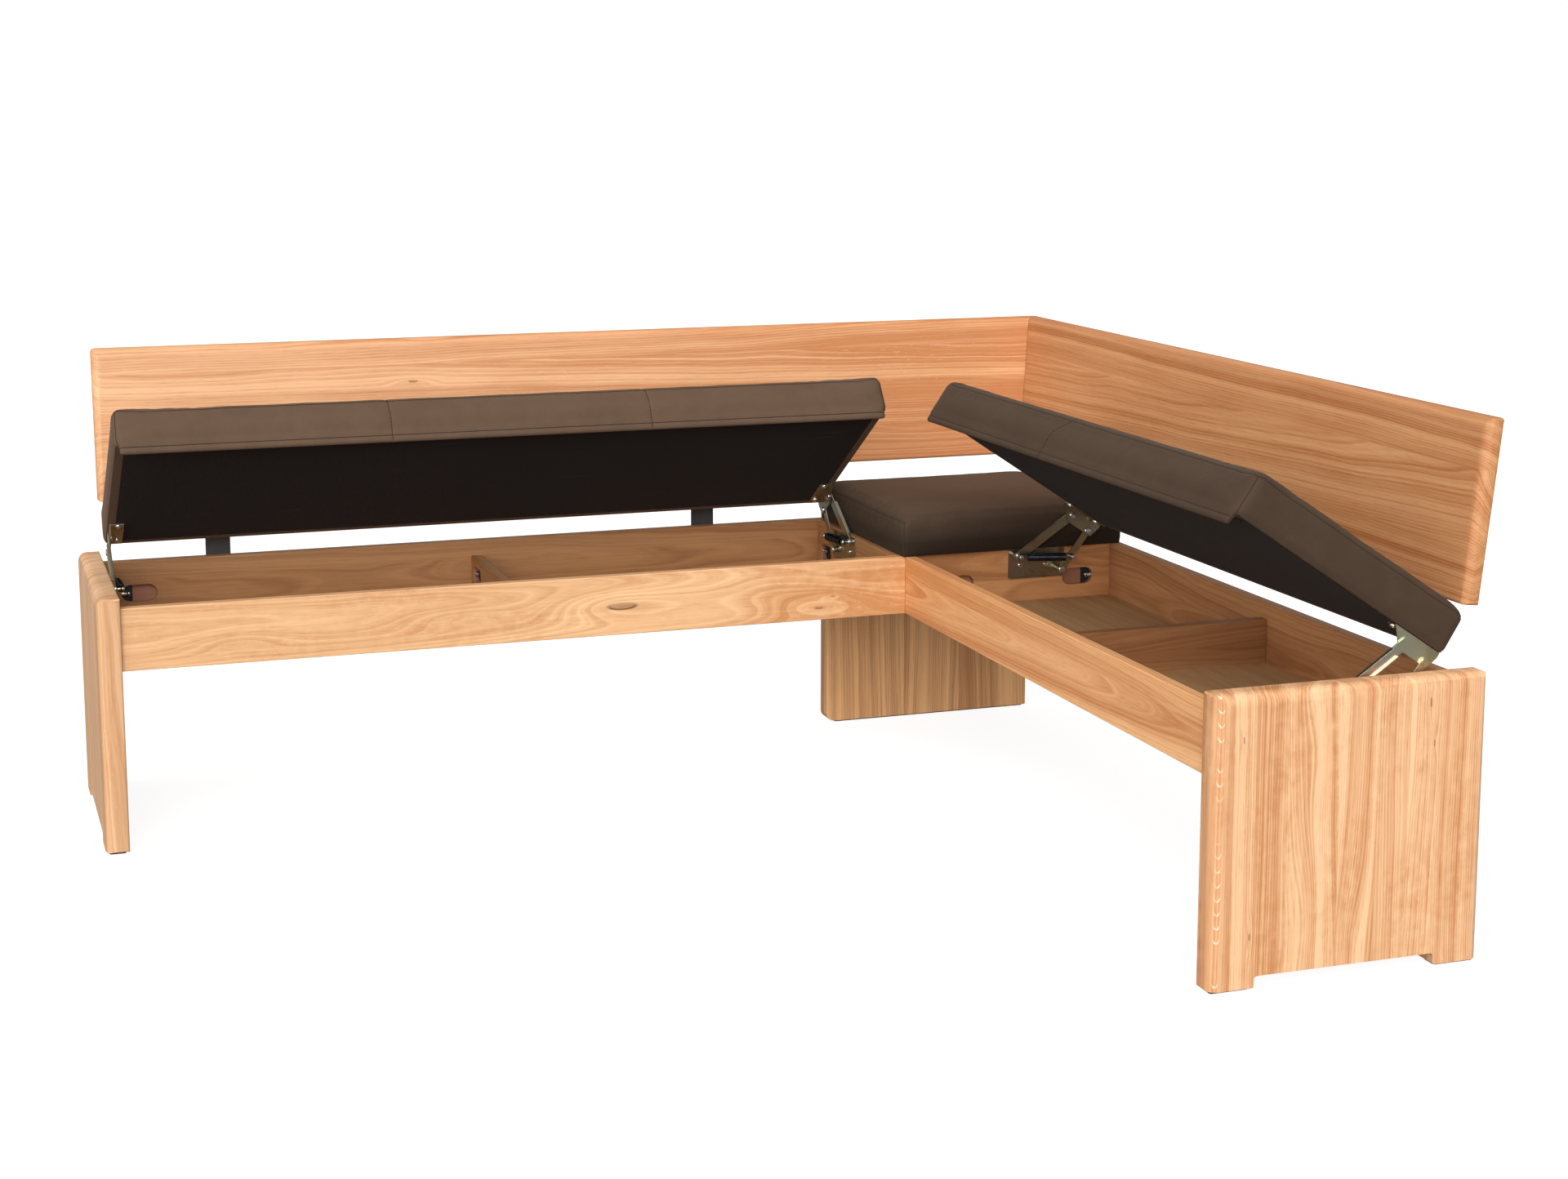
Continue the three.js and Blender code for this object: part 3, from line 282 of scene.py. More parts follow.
def panel_board(name, along, across, light, dark, seed):
    """Veneered board of the boxes' bottoms and of the seats, plain and mat."""
    finish = Finish(name, specular_ior_level=0.3)
    _, axes = finish.place()
    a, b, c = axes[along], axes[across], axes[3 - along - across]
    grain = finish.noise(finish.join(a * 3.0 + seed, b * 60.0, c * 60.0), 1.0, 4.0, 0.6)
    cloud = finish.noise(finish.join(a * 1.5, b * 4.0 + seed, c * 4.0), 1.0, 2.0)
    pore = finish.noise(finish.join(a * 18.0, b * 520.0, c * 520.0), 1.0, 2.0).between(0.56, 0.74)
    share = ((grain - 0.5) * 1.6 + (cloud - 0.5) * 0.8 + 0.5).between(0.0, 1.0)
    tone = finish.mix(share, light, dark)
    tone = finish.mix(pore * 0.3, tone, tuple(v * 0.5 for v in dark))
    relief = finish.bump(grain * 0.4 - pore * 0.4, 0.0001, 0.6)
    return finish.give(base_color=tone, roughness=0.62 + (grain - 0.5) * 0.2, normal=relief)


def soft_cover(name, base, shade=1.0, painted_shade_below=None):
    """Brown microfibre with a short nap, mottled where it has been stroked.

    fade is (low, high, share): the cover is drawn darker as painted shade by that share below low, and
    not above high.
    """
    finish = Finish(name, specular_ior_level=0.15, sheen_weight=0.07, sheen_roughness=0.5)
    finish.shader.inputs["Sheen Tint"].default_value = (0.85, 0.62, 0.45, 1.0)
    whole, places = finish.place()
    patch = finish.noise(whole, 7.0, 3.0, 0.55)
    stroke = finish.noise(whole, 34.0, 3.0, 0.6)
    nap = finish.noise(whole, 620.0, 2.0, 0.6)
    grid = {"Vector": whole, "Scale": 430.0}
    cells = finish.node("TexVoronoi", {"feature": "DISTANCE_TO_EDGE"}, grid)
    light = tuple(min(1.0, v * 1.2 * shade) for v in base)
    deep = tuple(v * 0.8 * shade for v in base)
    share = (0.5 + (patch - 0.5) * 0.9 + (stroke - 0.5) * 0.7 + (nap - 0.5) * 0.5).between(0.0, 1.0)
    tone = finish.mix(share, deep, light)
    crease = 1.0 - cells.between(0.0, 0.09)
    tone = finish.mix(crease * 0.18, tone, tuple(v * 0.5 for v in base))
    # Painted shade: below a given height the cover is drawn darker.
    if painted_shade_below:
        low, high, shade_share = painted_shade_below
        shaded_part = 1.0 - places[2].between(low, high)
        tone = finish.mix(shaded_part * shade_share, tone, tuple(v * 0.1 for v in base))
    relief = finish.bump(stroke * 0.35 + nap * 0.3 - crease * 0.35, 0.00022, 0.55)
    return finish.give(base_color=tone, roughness=0.8 + (patch - 0.5) * 0.18, normal=relief)


def lining_cloth(name):
    """Black lining cloth with a fine plain weave and a few chalky rub marks."""
    finish = Finish(name, specular_ior_level=0.12, sheen_weight=0.03, sheen_roughness=0.5)
    whole, (x, y, z) = finish.place()
    warp = (x * 1900.0).math("SINE")
    weft = ((y + z) * 1500.0).math("SINE")
    weave = warp * weft
    patch = finish.noise(whole, 5.0, 3.0)
    slub = finish.noise(finish.join(x * 30.0, y * 420.0, z * 420.0), 1.0, 2.0)
    rub = finish.noise(finish.join(x * 9.0 + y * 4.0, y * 60.0, z * 60.0), 1.0, 2.0).between(0.69, 0.76)
    share = (patch * 0.7 + slub * 0.4 + weave * 0.08).between(0.2, 1.0)
    tone = finish.mix(share, (0.0085, 0.0048, 0.0042), (0.0165, 0.0098, 0.0088))
    tone = finish.mix(rub * 0.14, tone, (0.08, 0.062, 0.055))
    relief = finish.bump(weave * 0.5 + slub * 0.5, 0.00012, 0.6)
    return finish.give(base_color=tone, roughness=0.85 + (patch - 0.5) * 0.2, normal=relief)


def yellow_zinc(name, level=1.0):
    """Pressed steel in yellow zinc plating, which drifts gently between olive, gold, pink and green."""
    finish = Finish(name, specular_ior_level=0.6)
    whole, _ = finish.place()
    drift = finish.noise(whole, 13.0, 1.0, 0.4)
    film = finish.noise(whole, 46.0, 2.0, 0.5)
    grain = finish.noise(whole, 700.0, 2.0, 0.6)
    stops = [
        (0.30, (0.52, 0.44, 0.25)),
        (0.42, (0.62, 0.55, 0.36)),
        (0.50, (0.66, 0.60, 0.42)),
        (0.57, (0.58, 0.61, 0.43)),
        (0.65, (0.66, 0.55, 0.46)),
        (0.76, (0.68, 0.62, 0.48)),
    ]
    stops = [(place, tuple(value * level for value in tone)) for place, tone in stops]
    tone = finish.node("ValToRGB", {"stops": stops}, {0: drift * 0.75 + film * 0.25})
    rough = 0.3 + (film - 0.5) * 0.16 + (grain - 0.5) * 0.1
    relief = finish.bump(grain * 0.4 + film * 0.6, 0.00006, 0.4)
    return finish.give(base_color=tone, roughness=rough, metallic=1.0 - (grain * 0.06), normal=relief)


def bare_metal(name, light, deep, rough):
    """Turned or drawn steel with fine tool marks."""
    finish = Finish(name, specular_ior_level=0.5)
    whole, (x, y, z) = finish.place()
    drift = finish.noise(whole, 60.0, 2.0)
    marks = finish.noise(finish.join(x * 3.0, y, z), 420.0, 2.0, 0.6)
    tone = finish.mix((drift * 0.7 + marks * 0.5).between(0.3, 0.9), deep, light)
    relief = finish.bump(marks, 0.00008, 0.5)
    level = 1.0 - (1.0 - drift) * 0.05
    rough = rough + (marks - 0.5) * 0.18
    return finish.give(base_color=tone, roughness=rough, metallic=level, normal=relief)


def moulded(name, base, rough):
    """Moulded or painted surface with a faint grain and paler rubbed places."""
    finish = Finish(name, specular_ior_level=0.45)
    whole, _ = finish.place()
    grain = finish.noise(whole, 900.0, 2.0, 0.6)
    rub = finish.noise(whole, 24.0, 3.0, 0.6)
    deep, light = tuple(v * 0.8 for v in base), tuple(min(1.0, v * 1.3) for v in base)
    tone = finish.mix(rub.between(0.3, 0.75), deep, light)
    relief = finish.bump(grain, 0.00008, 0.5)
    return finish.give(base_color=tone, roughness=rough + (rub - 0.5) * 0.2, normal=relief)


OAK_LIGHT, OAK_DARK = (0.93, 0.60, 0.335), (0.60, 0.270, 0.105)
# The inner boards' oak is browner than the outer oak, and darker partly as painted shade inside the
# boxes.
SHADED_INNER_LIGHT, SHADED_INNER_DARK = (0.60, 0.325, 0.155), (0.36, 0.165, 0.070)
COVER = (0.117, 0.0705, 0.0445)
X, Y, Z = 0, 1, 2


def cover(place, level, painted_shade_below=None):
    """The same cloth on each seat, set lighter or darker by level as painted light and shade."""
    return soft_cover("brown_microfibre_" + place, tuple(v * level for v in COVER), painted_shade_below=painted_shade_below)


# Painted light and shade: the one cloth is drawn lighter or darker on each seat, and the corner seat's
# is drawn darker towards its bottom.
covers = {
    "long_lid_cover": cover("long", 0.90),
    "short_lid_cover": cover("short", 0.50),
    "corner_seat_cover": cover("corner", 0.66, painted_shade_below=(0.456, 0.508, 0.78)),
}
# The seams' thread is the cover's cloth drawn much darker, as painted shade in the seams' grooves.
seam_shade_cover = soft_cover("brown_microfibre_seam_shade", COVER, 0.30)
lining = lining_cloth("black_lining_cloth")
zinc = yellow_zinc("yellow_zinc_plating")
# The hinges at the inside corner get a darker copy of the plating, as painted shade.
shaded_zinc = yellow_zinc("yellow_zinc_plating_corner_shade", 0.55)
bright = bare_metal("bright_steel_rivets", (0.80, 0.80, 0.79), (0.48, 0.48, 0.49), 0.24)
spring_steel = bare_metal("blued_spring_wire", (0.10, 0.115, 0.14), (0.02, 0.024, 0.032), 0.3)
dark_steel = moulded("dark_bracket_paint", (0.024, 0.020, 0.019), 0.5)
glide_plastic = moulded("brown_glide_plastic", (0.022, 0.015, 0.011), 0.6)
socket_plastic = moulded("black_socket_plastic", (0.010, 0.011, 0.014), 0.42)

# ---- making pieces


def mesh_from(shape, name):
    mesh = bpy.data.meshes.new(name)
    shape.to_mesh(mesh)
    shape.free()
    return mesh


def placed(name, data):
    """An object of its own in the scene."""
    thing = bpy.data.objects.new(name, data)
    bpy.context.scene.collection.objects.link(thing)
    return thing


def show(shape, name, finish, body, place=None, replaced=(), crease=38.0, weighted=False):
    """Turns a finished shape into a piece of the bench that rides on a body."""
    if place is not None:
        shape.transform(place)
    bmesh.ops.recalc_face_normals(shape, faces=shape.faces)
    mesh = mesh_from(shape, name)
    mesh.shade_smooth()
    mesh.set_sharp_from_angle(angle=math.radians(crease))
    mesh.materials.append(finish)
    piece = placed(name, mesh)
    if weighted:
        modifier = piece.modifiers.new("even_faces", "WEIGHTED_NORMAL")
        modifier.keep_sharp = True
    if body:
        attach(piece, body)
    if replaced:
        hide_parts(*replaced)
    return piece


def block(x, y, z):
    """A box by its spans."""
    shape = bmesh.new()
    bmesh.ops.create_cube(shape, size=1.0)
    size = (x[1] - x[0], y[1] - y[0], z[1] - z[0])
    bmesh.ops.scale(shape, vec=size, verts=shape.verts)
    middle = ((x[0] + x[1]) / 2, (y[0] + y[1]) / 2, (z[0] + z[1]) / 2)
    bmesh.ops.translate(shape, vec=middle, verts=shape.verts)
    return shape


def round_edges(shape, edges, radius, segments=2):
    bmesh.ops.bevel(
        shape, geom=list(edges), offset=radius, offset_type="OFFSET", segments=segments,
        profile=0.5, affect="EDGES", material=-1, clamp_overlap=True,
    )


# Edges that turn more than the first angle are rounded, and those that turn more than the second
# are the knife edges of mitres
LEAST_SHARP, KNIFE_EDGE = math.radians(40), math.radians(110)


def keen(vert):
    """Whether a corner lies on a mitre's knife edge, which isn't rounded."""
    return any(
        edge.is_manifold and edge.calc_face_angle(0.0) > KNIFE_EDGE for edge in vert.link_edges
    )


def eased(node, finish, body, radius=0.0012):
    """A copy of a node with its sharp edges eased, as sanding or pressing leaves them."""
    shape = bmesh.new()
    shape.from_mesh(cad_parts[node].data)
    bmesh.ops.remove_doubles(shape, verts=shape.verts, dist=1e-6)
    bmesh.ops.dissolve_limit(shape, angle_limit=math.radians(0.6), verts=shape.verts, edges=shape.edges)
    sharp = [
        edge for edge in shape.edges
        if edge.is_manifold and LEAST_SHARP < edge.calc_face_angle(0.0) < KNIFE_EDGE
        and not any(keen(vert) for vert in edge.verts)
    ]
    round_edges(shape, sharp, radius)
    return show(shape, node + "_eased", finish, body, replaced=(node,), weighted=True)


def head(centre, axis, radius, height, cross=False):
    """A domed rivet head or a screw head with its recess, standing on its centre along an axis."""
    shape = bmesh.new()
    bmesh.ops.create_cone(
        shape, cap_ends=True, segments=24, radius1=radius, radius2=radius, depth=height,
    )
    bmesh.ops.translate(shape, vec=(0, 0, height / 2), verts=shape.verts)
    rim = [edge for edge in shape.edges if all(vert.co.z > height * 0.9 for vert in edge.verts)]
    round_edges(shape, rim, height * 0.62, 4)
    if cross:
        top = max(shape.faces, key=lambda face: face.calc_center_median().z)
        bmesh.ops.inset_region(shape, faces=[top], thickness=radius * 0.28)
        bmesh.ops.inset_region(shape, faces=[top], thickness=radius * 0.05, depth=-height * 0.4)
    turn = Vector((0, 0, 1)).rotation_difference(Vector(axis)).to_matrix().to_4x4()
    shape.transform(Matrix.Translation(centre) @ turn)
    return shape


def together(shapes):
    whole = bmesh.new()
    for shape in shapes:
        part = mesh_from(shape, "part")
        whole.from_mesh(part)
        bpy.data.meshes.remove(part)
    return whole


# ---- wood


def wooden(node, along, across, base, balance, staves, seed, slot="oak", radius=0.0012, **more):
    """A piece of oak; balance brings its tones to how that board looks, which is partly its own
    tone and partly light and shade painted into it.
    """
    tones = [tuple(value * share for value, share in zip(tone, balance)) for tone in base]
    finish = oiled_oak(node + "_oak", along, across, tones, staves, seed, **more)
    return eased(node, finish, "bench", radius)


OAK, INNER = (OAK_LIGHT, OAK_DARK), (SHADED_INNER_LIGHT, SHADED_INNER_DARK)
rail_knots = [(-0.056, 0.373, 0.032), (0.325, 0.343, 0.009), (0.3524, 0.3637, 0.006)]
rail_eyes = [(0.19, 0.383, 0.034), (0.335, 0.352, 0.03), (-0.36, 0.372, 0.022), (-0.75, 0.36, 0.02)]
wooden(
    "long_front_rail", X, Z, OAK, (0.93, 0.96, 0.98), [], 3.0, deeper=(0.1, 0.5, 0.34),
    pith=0.372, slope=0.02, knots=rail_knots, eyes=rail_eyes, curl=0.7,
)
wooden(
    "short_front_rail", Y, Z, OAK, (0.93, 0.81, 0.68), [0.392], 11.0, slope=0.02,
    deeper=(-0.5, 0.3, 0.4),
)
wooden(
    "long_end_panel", Z, Y, OAK, (0.83, 0.86, 0.92), [0.43, 0.51, 0.60, 0.68, 0.755], 17.0,
    slope=0.04,
)
panel_staves = [0.519, 0.557, 0.61, 0.697, 0.761, 0.814, 0.861]
panel_knots = [
    (0.381, 0.5356, 0.006), (0.0825, 0.5532, 0.006), (0.4122, 0.8474, 0.008), (0.3491, 0.8559, 0.006),
]
panel_eyes = [(0.10, 0.646, 0.030), (0.05, 0.722, 0.026), (0.36, 0.66, 0.022)]
panel_steps = [0.36, -0.08, 0.16, -0.10, 0.0, 0.10, -0.06, 0.04]
wooden(
    "short_end_panel", Z, X, OAK, (0.90, 0.88, 0.90), panel_staves, 29.0, contrast=1.35,
    slope=0.04, knots=panel_knots, eyes=panel_eyes, curl=1.1, steps=panel_steps, marks=0.4985,
)
wooden(
    "long_backrest", X, Z, OAK, (0.80, 0.72, 0.68), [0.622, 0.706, 0.778], 41.0,
    slope=0.015, knots=[(-0.345, 0.745, 0.010)], deeper=(-0.9, 0.9, 0.45), contrast=1.2,
)
wooden("short_backrest", Y, Z, OAK, (0.66, 0.53, 0.43), [0.632, 0.748], 53.0, slope=0.02, contrast=1.2)


POCKET_LENGTH, SEAT_GAP = 0.066, 0.0003


def pocket(node, along, across, through):
    """The routed pocket round a connector, as spans along, across and through its board."""
    low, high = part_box(node)
    way = -1 if CONNECTORS[node][0][along] < 0 else 1
    end = high[along] + SEAT_GAP if way < 0 else low[along] - SEAT_GAP
    reach = (end - POCKET_LENGTH, end + 0.001) if way < 0 else (end - 0.001, end + POCKET_LENGTH)
    sides = (low[across] - 0.002, high[across] + 0.002)
    return reach, sides, (low[through] - SEAT_GAP, high[through] + 0.0008)


# Each connector's way along its pocket, and the way out of the pocket
CONNECTORS = {
    "long_back_rail_connector": ((1, 0, 0), (0, -1, 0)),
    "long_divider_connector": ((0, -1, 0), (-1, 0, 0)),
    "corner_side_connector": ((0, -1, 0), (-1, 0, 0)),
    "corner_front_connector_left": ((1, 0, 0), (0, -1, 0)),
    "corner_front_connector_right": ((-1, 0, 0), (0, -1, 0)),
}
wooden(
    "long_back_rail", X, Z, INNER, (0.66, 0.62, 0.54), [0.395], 61.0, slot="inner_oak", slope=0.02,
    pockets=[pocket("long_back_rail_connector", X, Z, Y)], contrast=1.3,
)
wooden(
    "short_back_rail", Y, Z, INNER, (0.82, 0.74, 0.66), [0.37], 67.0, slot="inner_oak",
    slope=0.02, contrast=1.3,
)
wooden(
    "long_divider", Y, Z, INNER, (0.72, 0.66, 0.56), [0.36], 71.0, slot="inner_oak",
    pockets=[pocket("long_divider_connector", Y, Z, X)],
)
wooden("short_divider", X, Z, INNER, (0.55, 0.47, 0.40), [0.36], 73.0, slot="inner_oak")
wooden(
    "corner_side_panel", Y, Z, INNER, (0.78, 0.75, 0.66), [0.36], 79.0, slot="inner_oak",
    pockets=[pocket("corner_side_connector", Y, Z, X)],
)
front_pockets = [pocket(f"corner_front_connector_{place}", X, Z, Y) for place in ("left", "right")]
wooden(
    "corner_front_panel", X, Z, INNER, (1.02, 0.94, 0.82), [0.37], 83.0, slot="inner_oak", slope=0.02,
    pockets=front_pockets, contrast=1.3,
)
leg_staves = [0.575, 0.669, 0.793, 0.880]
leg_steps = [0.0, 0.14, -0.06, 0.12, 0.02]
wooden(
    "corner_leg_panel", Z, X, INNER, (1.34, 1.38, 1.32), leg_staves, 89.0, slot="inner_oak",
    slope=0.04, steps=leg_steps, contrast=1.5, deeper=(0.20, 0.34, 0.35),
)

BOARD_LIGHT, BOARD_DARK = (0.52, 0.295, 0.14), (0.33, 0.17, 0.072)
bottom_x = panel_board("bottom_board_long", X, Y, BOARD_LIGHT, BOARD_DARK, 5.0)
bottom_y = panel_board("bottom_board_short", Y, X, BOARD_LIGHT, BOARD_DARK, 9.0)
for node, finish in (
    ("long_inner_bottom", bottom_x),
    ("long_outer_bottom", bottom_x),
    ("short_inner_bottom", bottom_y),
    ("short_outer_bottom", bottom_y),
    ("corner_bottom", bottom_y),
):
    eased(node, finish, "bench", 0.0006)
seat_board = panel_board("seat_board", X, Y, (0.62, 0.45, 0.28), (0.46, 0.31, 0.18), 13.0)
for place, body in (("long_lid", "long_lid"), ("short_lid", "short_lid"), ("corner_seat", "bench")):
    eased(place + "_board", seat_board, body, 0.0006)
for place in ("long_front", "long_rear", "short_front", "short_rear", "corner_leg"):
    eased(place + "_glide", glide_plastic, "bench", 0.0006)

# ---- metal

for place in ("long_outer", "long_inner", "short_outer", "short_inner"):
    eased(place + "_backrest_bracket", dark_steel, "bench", 0.0008)

# Each hinge's side, the place of the face it stands on, its way into the box, and the plane of its
# links before that face
HINGES = {
    "long_outer": ("long", 1440.0, -1, 8.0),
    "long_corner": ("long", 20.0, 1, 8.0),
    "short_outer": ("short", 1185.0, -1, 8.0),
    "short_corner": ("short", -6.0, 1, 26.0),
}


# The heads' radii and heights, and where rivets, screws and the spring lie
RIVET, STUD_TIP, PLATE_SCREW, LID_SCREW = (6.4, 2.5), (4.8, 3.1), (4.9, 2.5), (5.9, 3.6)
LINK_THICKNESS, STUD_REACH, SPRING_REACH = 2.5, 14.6, 12.0
PLATE_FACE, PLATE_SCREWS = 2.2, ((239.0, 397.0), (292.0, 396.0))
LID_RIVET, LID_FLANGE = (401.3, 405.9), 428.4
LID_SCREWS = (LID_RIVET[0] - 68.0, LID_RIVET[0] - 3.0)
BRACKET_GAP, HALF_FLANGE, BOLT_ASIDE = 0.5, 13.0, 2.75


def hinge(name):
    """A lift-up hinge: its plate, links and bracket with their heads, and its spring."""
    side, face, way, plane = HINGES[name]
    place = SIDES[side] @ Matrix.Translation((face, 0, 0)) @ Matrix.Diagonal((way, 1, 1, 1))
    lid_place = SIDES[side] @ OPEN_LID
    lid_place = lid_place @ Matrix.Translation((face, 0, 0)) @ Matrix.Diagonal((way, 1, 1, 1))
    links_top = plane + LINK_THICKNESS
    plating = shaded_zinc if name.endswith("corner") else zinc
    lid, front, rear = side + "_lid", side + "_front_links", side + "_rear_links"
    bodies = {"base_plate": "bench", "front_link": front, "rear_link": rear, "lid_bracket": lid}
    for part, body in bodies.items():
        eased(f"{name}_{part}", plating, body, 0.0005)
    inwards = (1, 0, 0)
    heads = [
        head((links_top + 0.25, *FRONT_PIVOT), inwards, *RIVET),
        head((links_top + 0.25, *REAR_PIVOT), inwards, *RIVET),
        head((plane + STUD_REACH, *FRONT_PIVOT), inwards, *STUD_TIP),
    ]
    heads += [head((PLATE_FACE, *spot), inwards, *PLATE_SCREW, cross=True) for spot in PLATE_SCREWS]
    show(together(heads), name + "_plate_heads", bright, "bench", place)
    arm = Vector((math.cos(FRONT_LINK_TURN), math.sin(FRONT_LINK_TURN))) * FRONT_LINK_LENGTH
    tip = FRONT_PIVOT + arm
    rivet = head((links_top + 2.9, *tip), inwards, *RIVET)
    show(rivet, name + "_front_link_rivet", bright, front, place)
    reach = Vector((math.cos(REAR_LINK_TURN), math.sin(REAR_LINK_TURN)))
    stud = REAR_PIVOT + reach * STUD_ON_REAR_LINK
    stud_tip = head((plane + STUD_REACH, *stud), inwards, *STUD_TIP)
    show(stud_tip, name + "_rear_link_stud", bright, rear, place)
    bolts_at = links_top + BRACKET_GAP + HALF_FLANGE + BOLT_ASIDE
    lid_heads = [head((links_top + 2.4, *LID_RIVET), inwards, *RIVET)]
    lid_heads += [
        head((bolts_at, depth, LID_FLANGE), (0, 0, -1), *LID_SCREW, cross=True)
        for depth in LID_SCREWS
    ]
    show(together(lid_heads), name + "_bracket_heads", bright, lid, lid_place)
    spring(name, place, plane + SPRING_REACH, FRONT_PIVOT, stud)


def ring_section(centre, normal, radius, sides=8):
    """The outline of round wire, from which swept() draws it."""
    shape = bmesh.new()
    turn = Vector((0, 0, 1)).rotation_difference(Vector(normal)).to_matrix().to_4x4()
    lay = Matrix.Translation(centre) @ turn
    bmesh.ops.create_circle(shape, cap_ends=False, segments=sides, radius=radius, matrix=lay)
    return shape


def swept(shape, centre, axis, angle, steps, advance=0.0):
    """Sweeps a ring of wire round an axis, and along it where the spring coils."""
    bmesh.ops.spin(
        shape, geom=shape.verts[:] + shape.edges[:], cent=centre, axis=axis,
        dvec=Vector(axis) * (advance / steps), angle=angle, steps=steps,
        use_merge=False, use_duplicate=False,
    )
    ends = [edge for edge in shape.edges if edge.is_boundary]
    bmesh.ops.holes_fill(shape, edges=ends, sides=0)
    return shape


def spring(name, place, level, start, end):
    """A coil spring hooked over two studs. It is drawn along the first axis, then laid on its line."""
    span = (end - start).length
    # Radii of the wire, the coil and the hooks' loops, and how far the coil stops before each stud
    wire, coil, loop, lead = 1.15, 6.9, 4.5, 15.0
    turns, steps_per_turn = 30, 14
    body = swept(
        ring_section((lead, coil, 0), (0, 0, 1), wire, 6), (lead, 0, 0), (1, 0, 0),
        2 * math.pi * turns, turns * steps_per_turn, span - 2 * lead,
    )
    parts = [body]
    for centre, way in ((0.0, 1), (span, -1)):
        hook = ring_section((centre, loop, 0), (1, 0, 0), wire)
        parts.append(swept(hook, (centre, 0, 0), (0, 0, way), math.radians(265), 18))
        rod = bmesh.new()
        reach = lead + wire
        first, last = Vector((centre, loop, 0)), Vector((centre + way * reach, coil, 0))
        line = last - first
        turn = Vector((0, 0, 1)).rotation_difference(line).to_matrix().to_4x4()
        bmesh.ops.create_cone(
            rod, cap_ends=True, segments=8, radius1=wire, radius2=wire, depth=line.length,
        )
        rod.transform(Matrix.Translation((first + last) / 2) @ turn)
        parts.append(rod)
    angle = math.atan2(end.y - start.y, end.x - start.x)
    lay = Matrix.Translation((level, start.x, start.y)) @ Matrix.Rotation(angle, 4, "X")
    lay = lay @ Matrix(((0, 0, 1, 0), (1, 0, 0, 0), (0, 1, 0, 0), (0, 0, 0, 1)))
    piece = show(
        together(parts), name + "_coil", spring_steel, None, place @ lay,
        replaced=(name + "_spring",), crease=60.0,
    )
    middle = place @ Vector((level, *start.lerp(end, 0.5)))
    to_stud = place @ Vector((level, *end))
    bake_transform(piece)


for hinge_name in HINGES:
    hinge(hinge_name)

# Pocket connectors: the dark socket, and the bright bolt that lies on it
for node, (along, out) in CONNECTORS.items():
    eased(node, socket_plastic, "bench", 0.0005)
    low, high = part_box(node)
    along, out = Vector(along), Vector(out)
    start = Vector(((low.x + high.x) / 2, (low.y + high.y) / 2, (low.z + high.z) / 2))
    for axis in (X, Y):
        if along[axis]:
            start[axis] = low[axis] if along[axis] > 0 else high[axis]
        if out[axis]:
            start[axis] = high[axis]
    start += out * 0.007
    bolt = together([
        head(start, along, 0.0042, 0.0124),
        head(start + along * 0.0118, along, 0.0050, 0.0044),
        head(start + along * 0.0040, along, 0.0047, 0.0016),
    ])
    show(bolt, node + "_bolt", bright, "bench")

# ---- seats


def seat_form(x, y, low, high, lip, turn):
    """The closed form a seat's cover is drawn over, a little smaller than the finished seat.

    turn is the radius of its upright corners, and lip the level down to which its front hangs.
    """
    shrink = 1.5
    spans = [(low_side + shrink, high_side - shrink) for low_side, high_side in (x, y)]
    shape = block(*spans, (low, high - shrink))
    upright = [edge for edge in shape.edges if abs(edge.verts[0].co.z - edge.verts[1].co.z) > 1]
    round_edges(shape, upright, turn, 4)
    top = [edge for edge in shape.edges if all(vert.co.z > high - shrink - 0.1 for vert in edge.verts)]
    round_edges(shape, top, 8.0, 3)
    foot = [edge for edge in shape.edges if all(vert.co.z < low + 0.1 for vert in edge.verts)]
    round_edges(shape, foot, 4.5, 2)
    if lip:
        roll = block((x[0] + 9.0, x[1] - 9.0), (y[0] + 1.2, y[0] + 12.0), (lip, low + 14.0))
        round_edges(roll, roll.edges[:], 3.6, 3)
        shape = together([shape, roll])
    return shape


def apply_modifiers(piece):
    """Replaces a piece's mesh by the one its modifiers make."""
    graph = bpy.context.evaluated_depsgraph_get()
    finished = bpy.data.meshes.new_from_object(piece.evaluated_get(graph))
    old = piece.data
    piece.modifiers.clear()
    piece.data = finished
    bpy.data.meshes.remove(old)


def puff(piece, low, cap, ends):
    """Fills the cover under light pressure, with its underside held and its movement capped.

    ends is the share of the swelling left at the ends, which a lid closes between neighbours.
    """
    rest = [vert.co.copy() for vert in piece.data.vertices]
    held = piece.vertex_groups.new(name="held")
    fixed = [vert.index for vert in piece.data.vertices if vert.co.z < low + 0.004]
    held.add(fixed, 1.0, "REPLACE")
    cloth = piece.modifiers.new("cover", "CLOTH")
    cloth.settings.use_pressure = True
    cloth.settings.uniform_pressure_force = 4.0
    cloth.settings.vertex_group_mass = "held"
    cloth.settings.effector_weights.gravity = 0.0
    cloth.settings.quality = 4
    cloth.settings.tension_stiffness = 40.0
    cloth.settings.compression_stiffness = 40.0
    cloth.settings.bending_stiffness = 4.0
    cloth.point_cache.frame_start, cloth.point_cache.frame_end = 1, 20
    scene = bpy.context.scene
    for step in range(1, 15):
        scene.frame_set(step)
    graph = bpy.context.evaluated_depsgraph_get()
    swollen = piece.evaluated_get(graph).data
    moved = [vert.co.copy() for vert in swollen.vertices]
    piece.modifiers.clear()
    piece.vertex_groups.clear()
    for vert, start, end in zip(piece.data.vertices, rest, moved):
        shift = end - start
        if shift.length > cap:
            shift *= cap / shift.length
        shift.x *= ends
        vert.co = start + shift
    scene.frame_set(1)


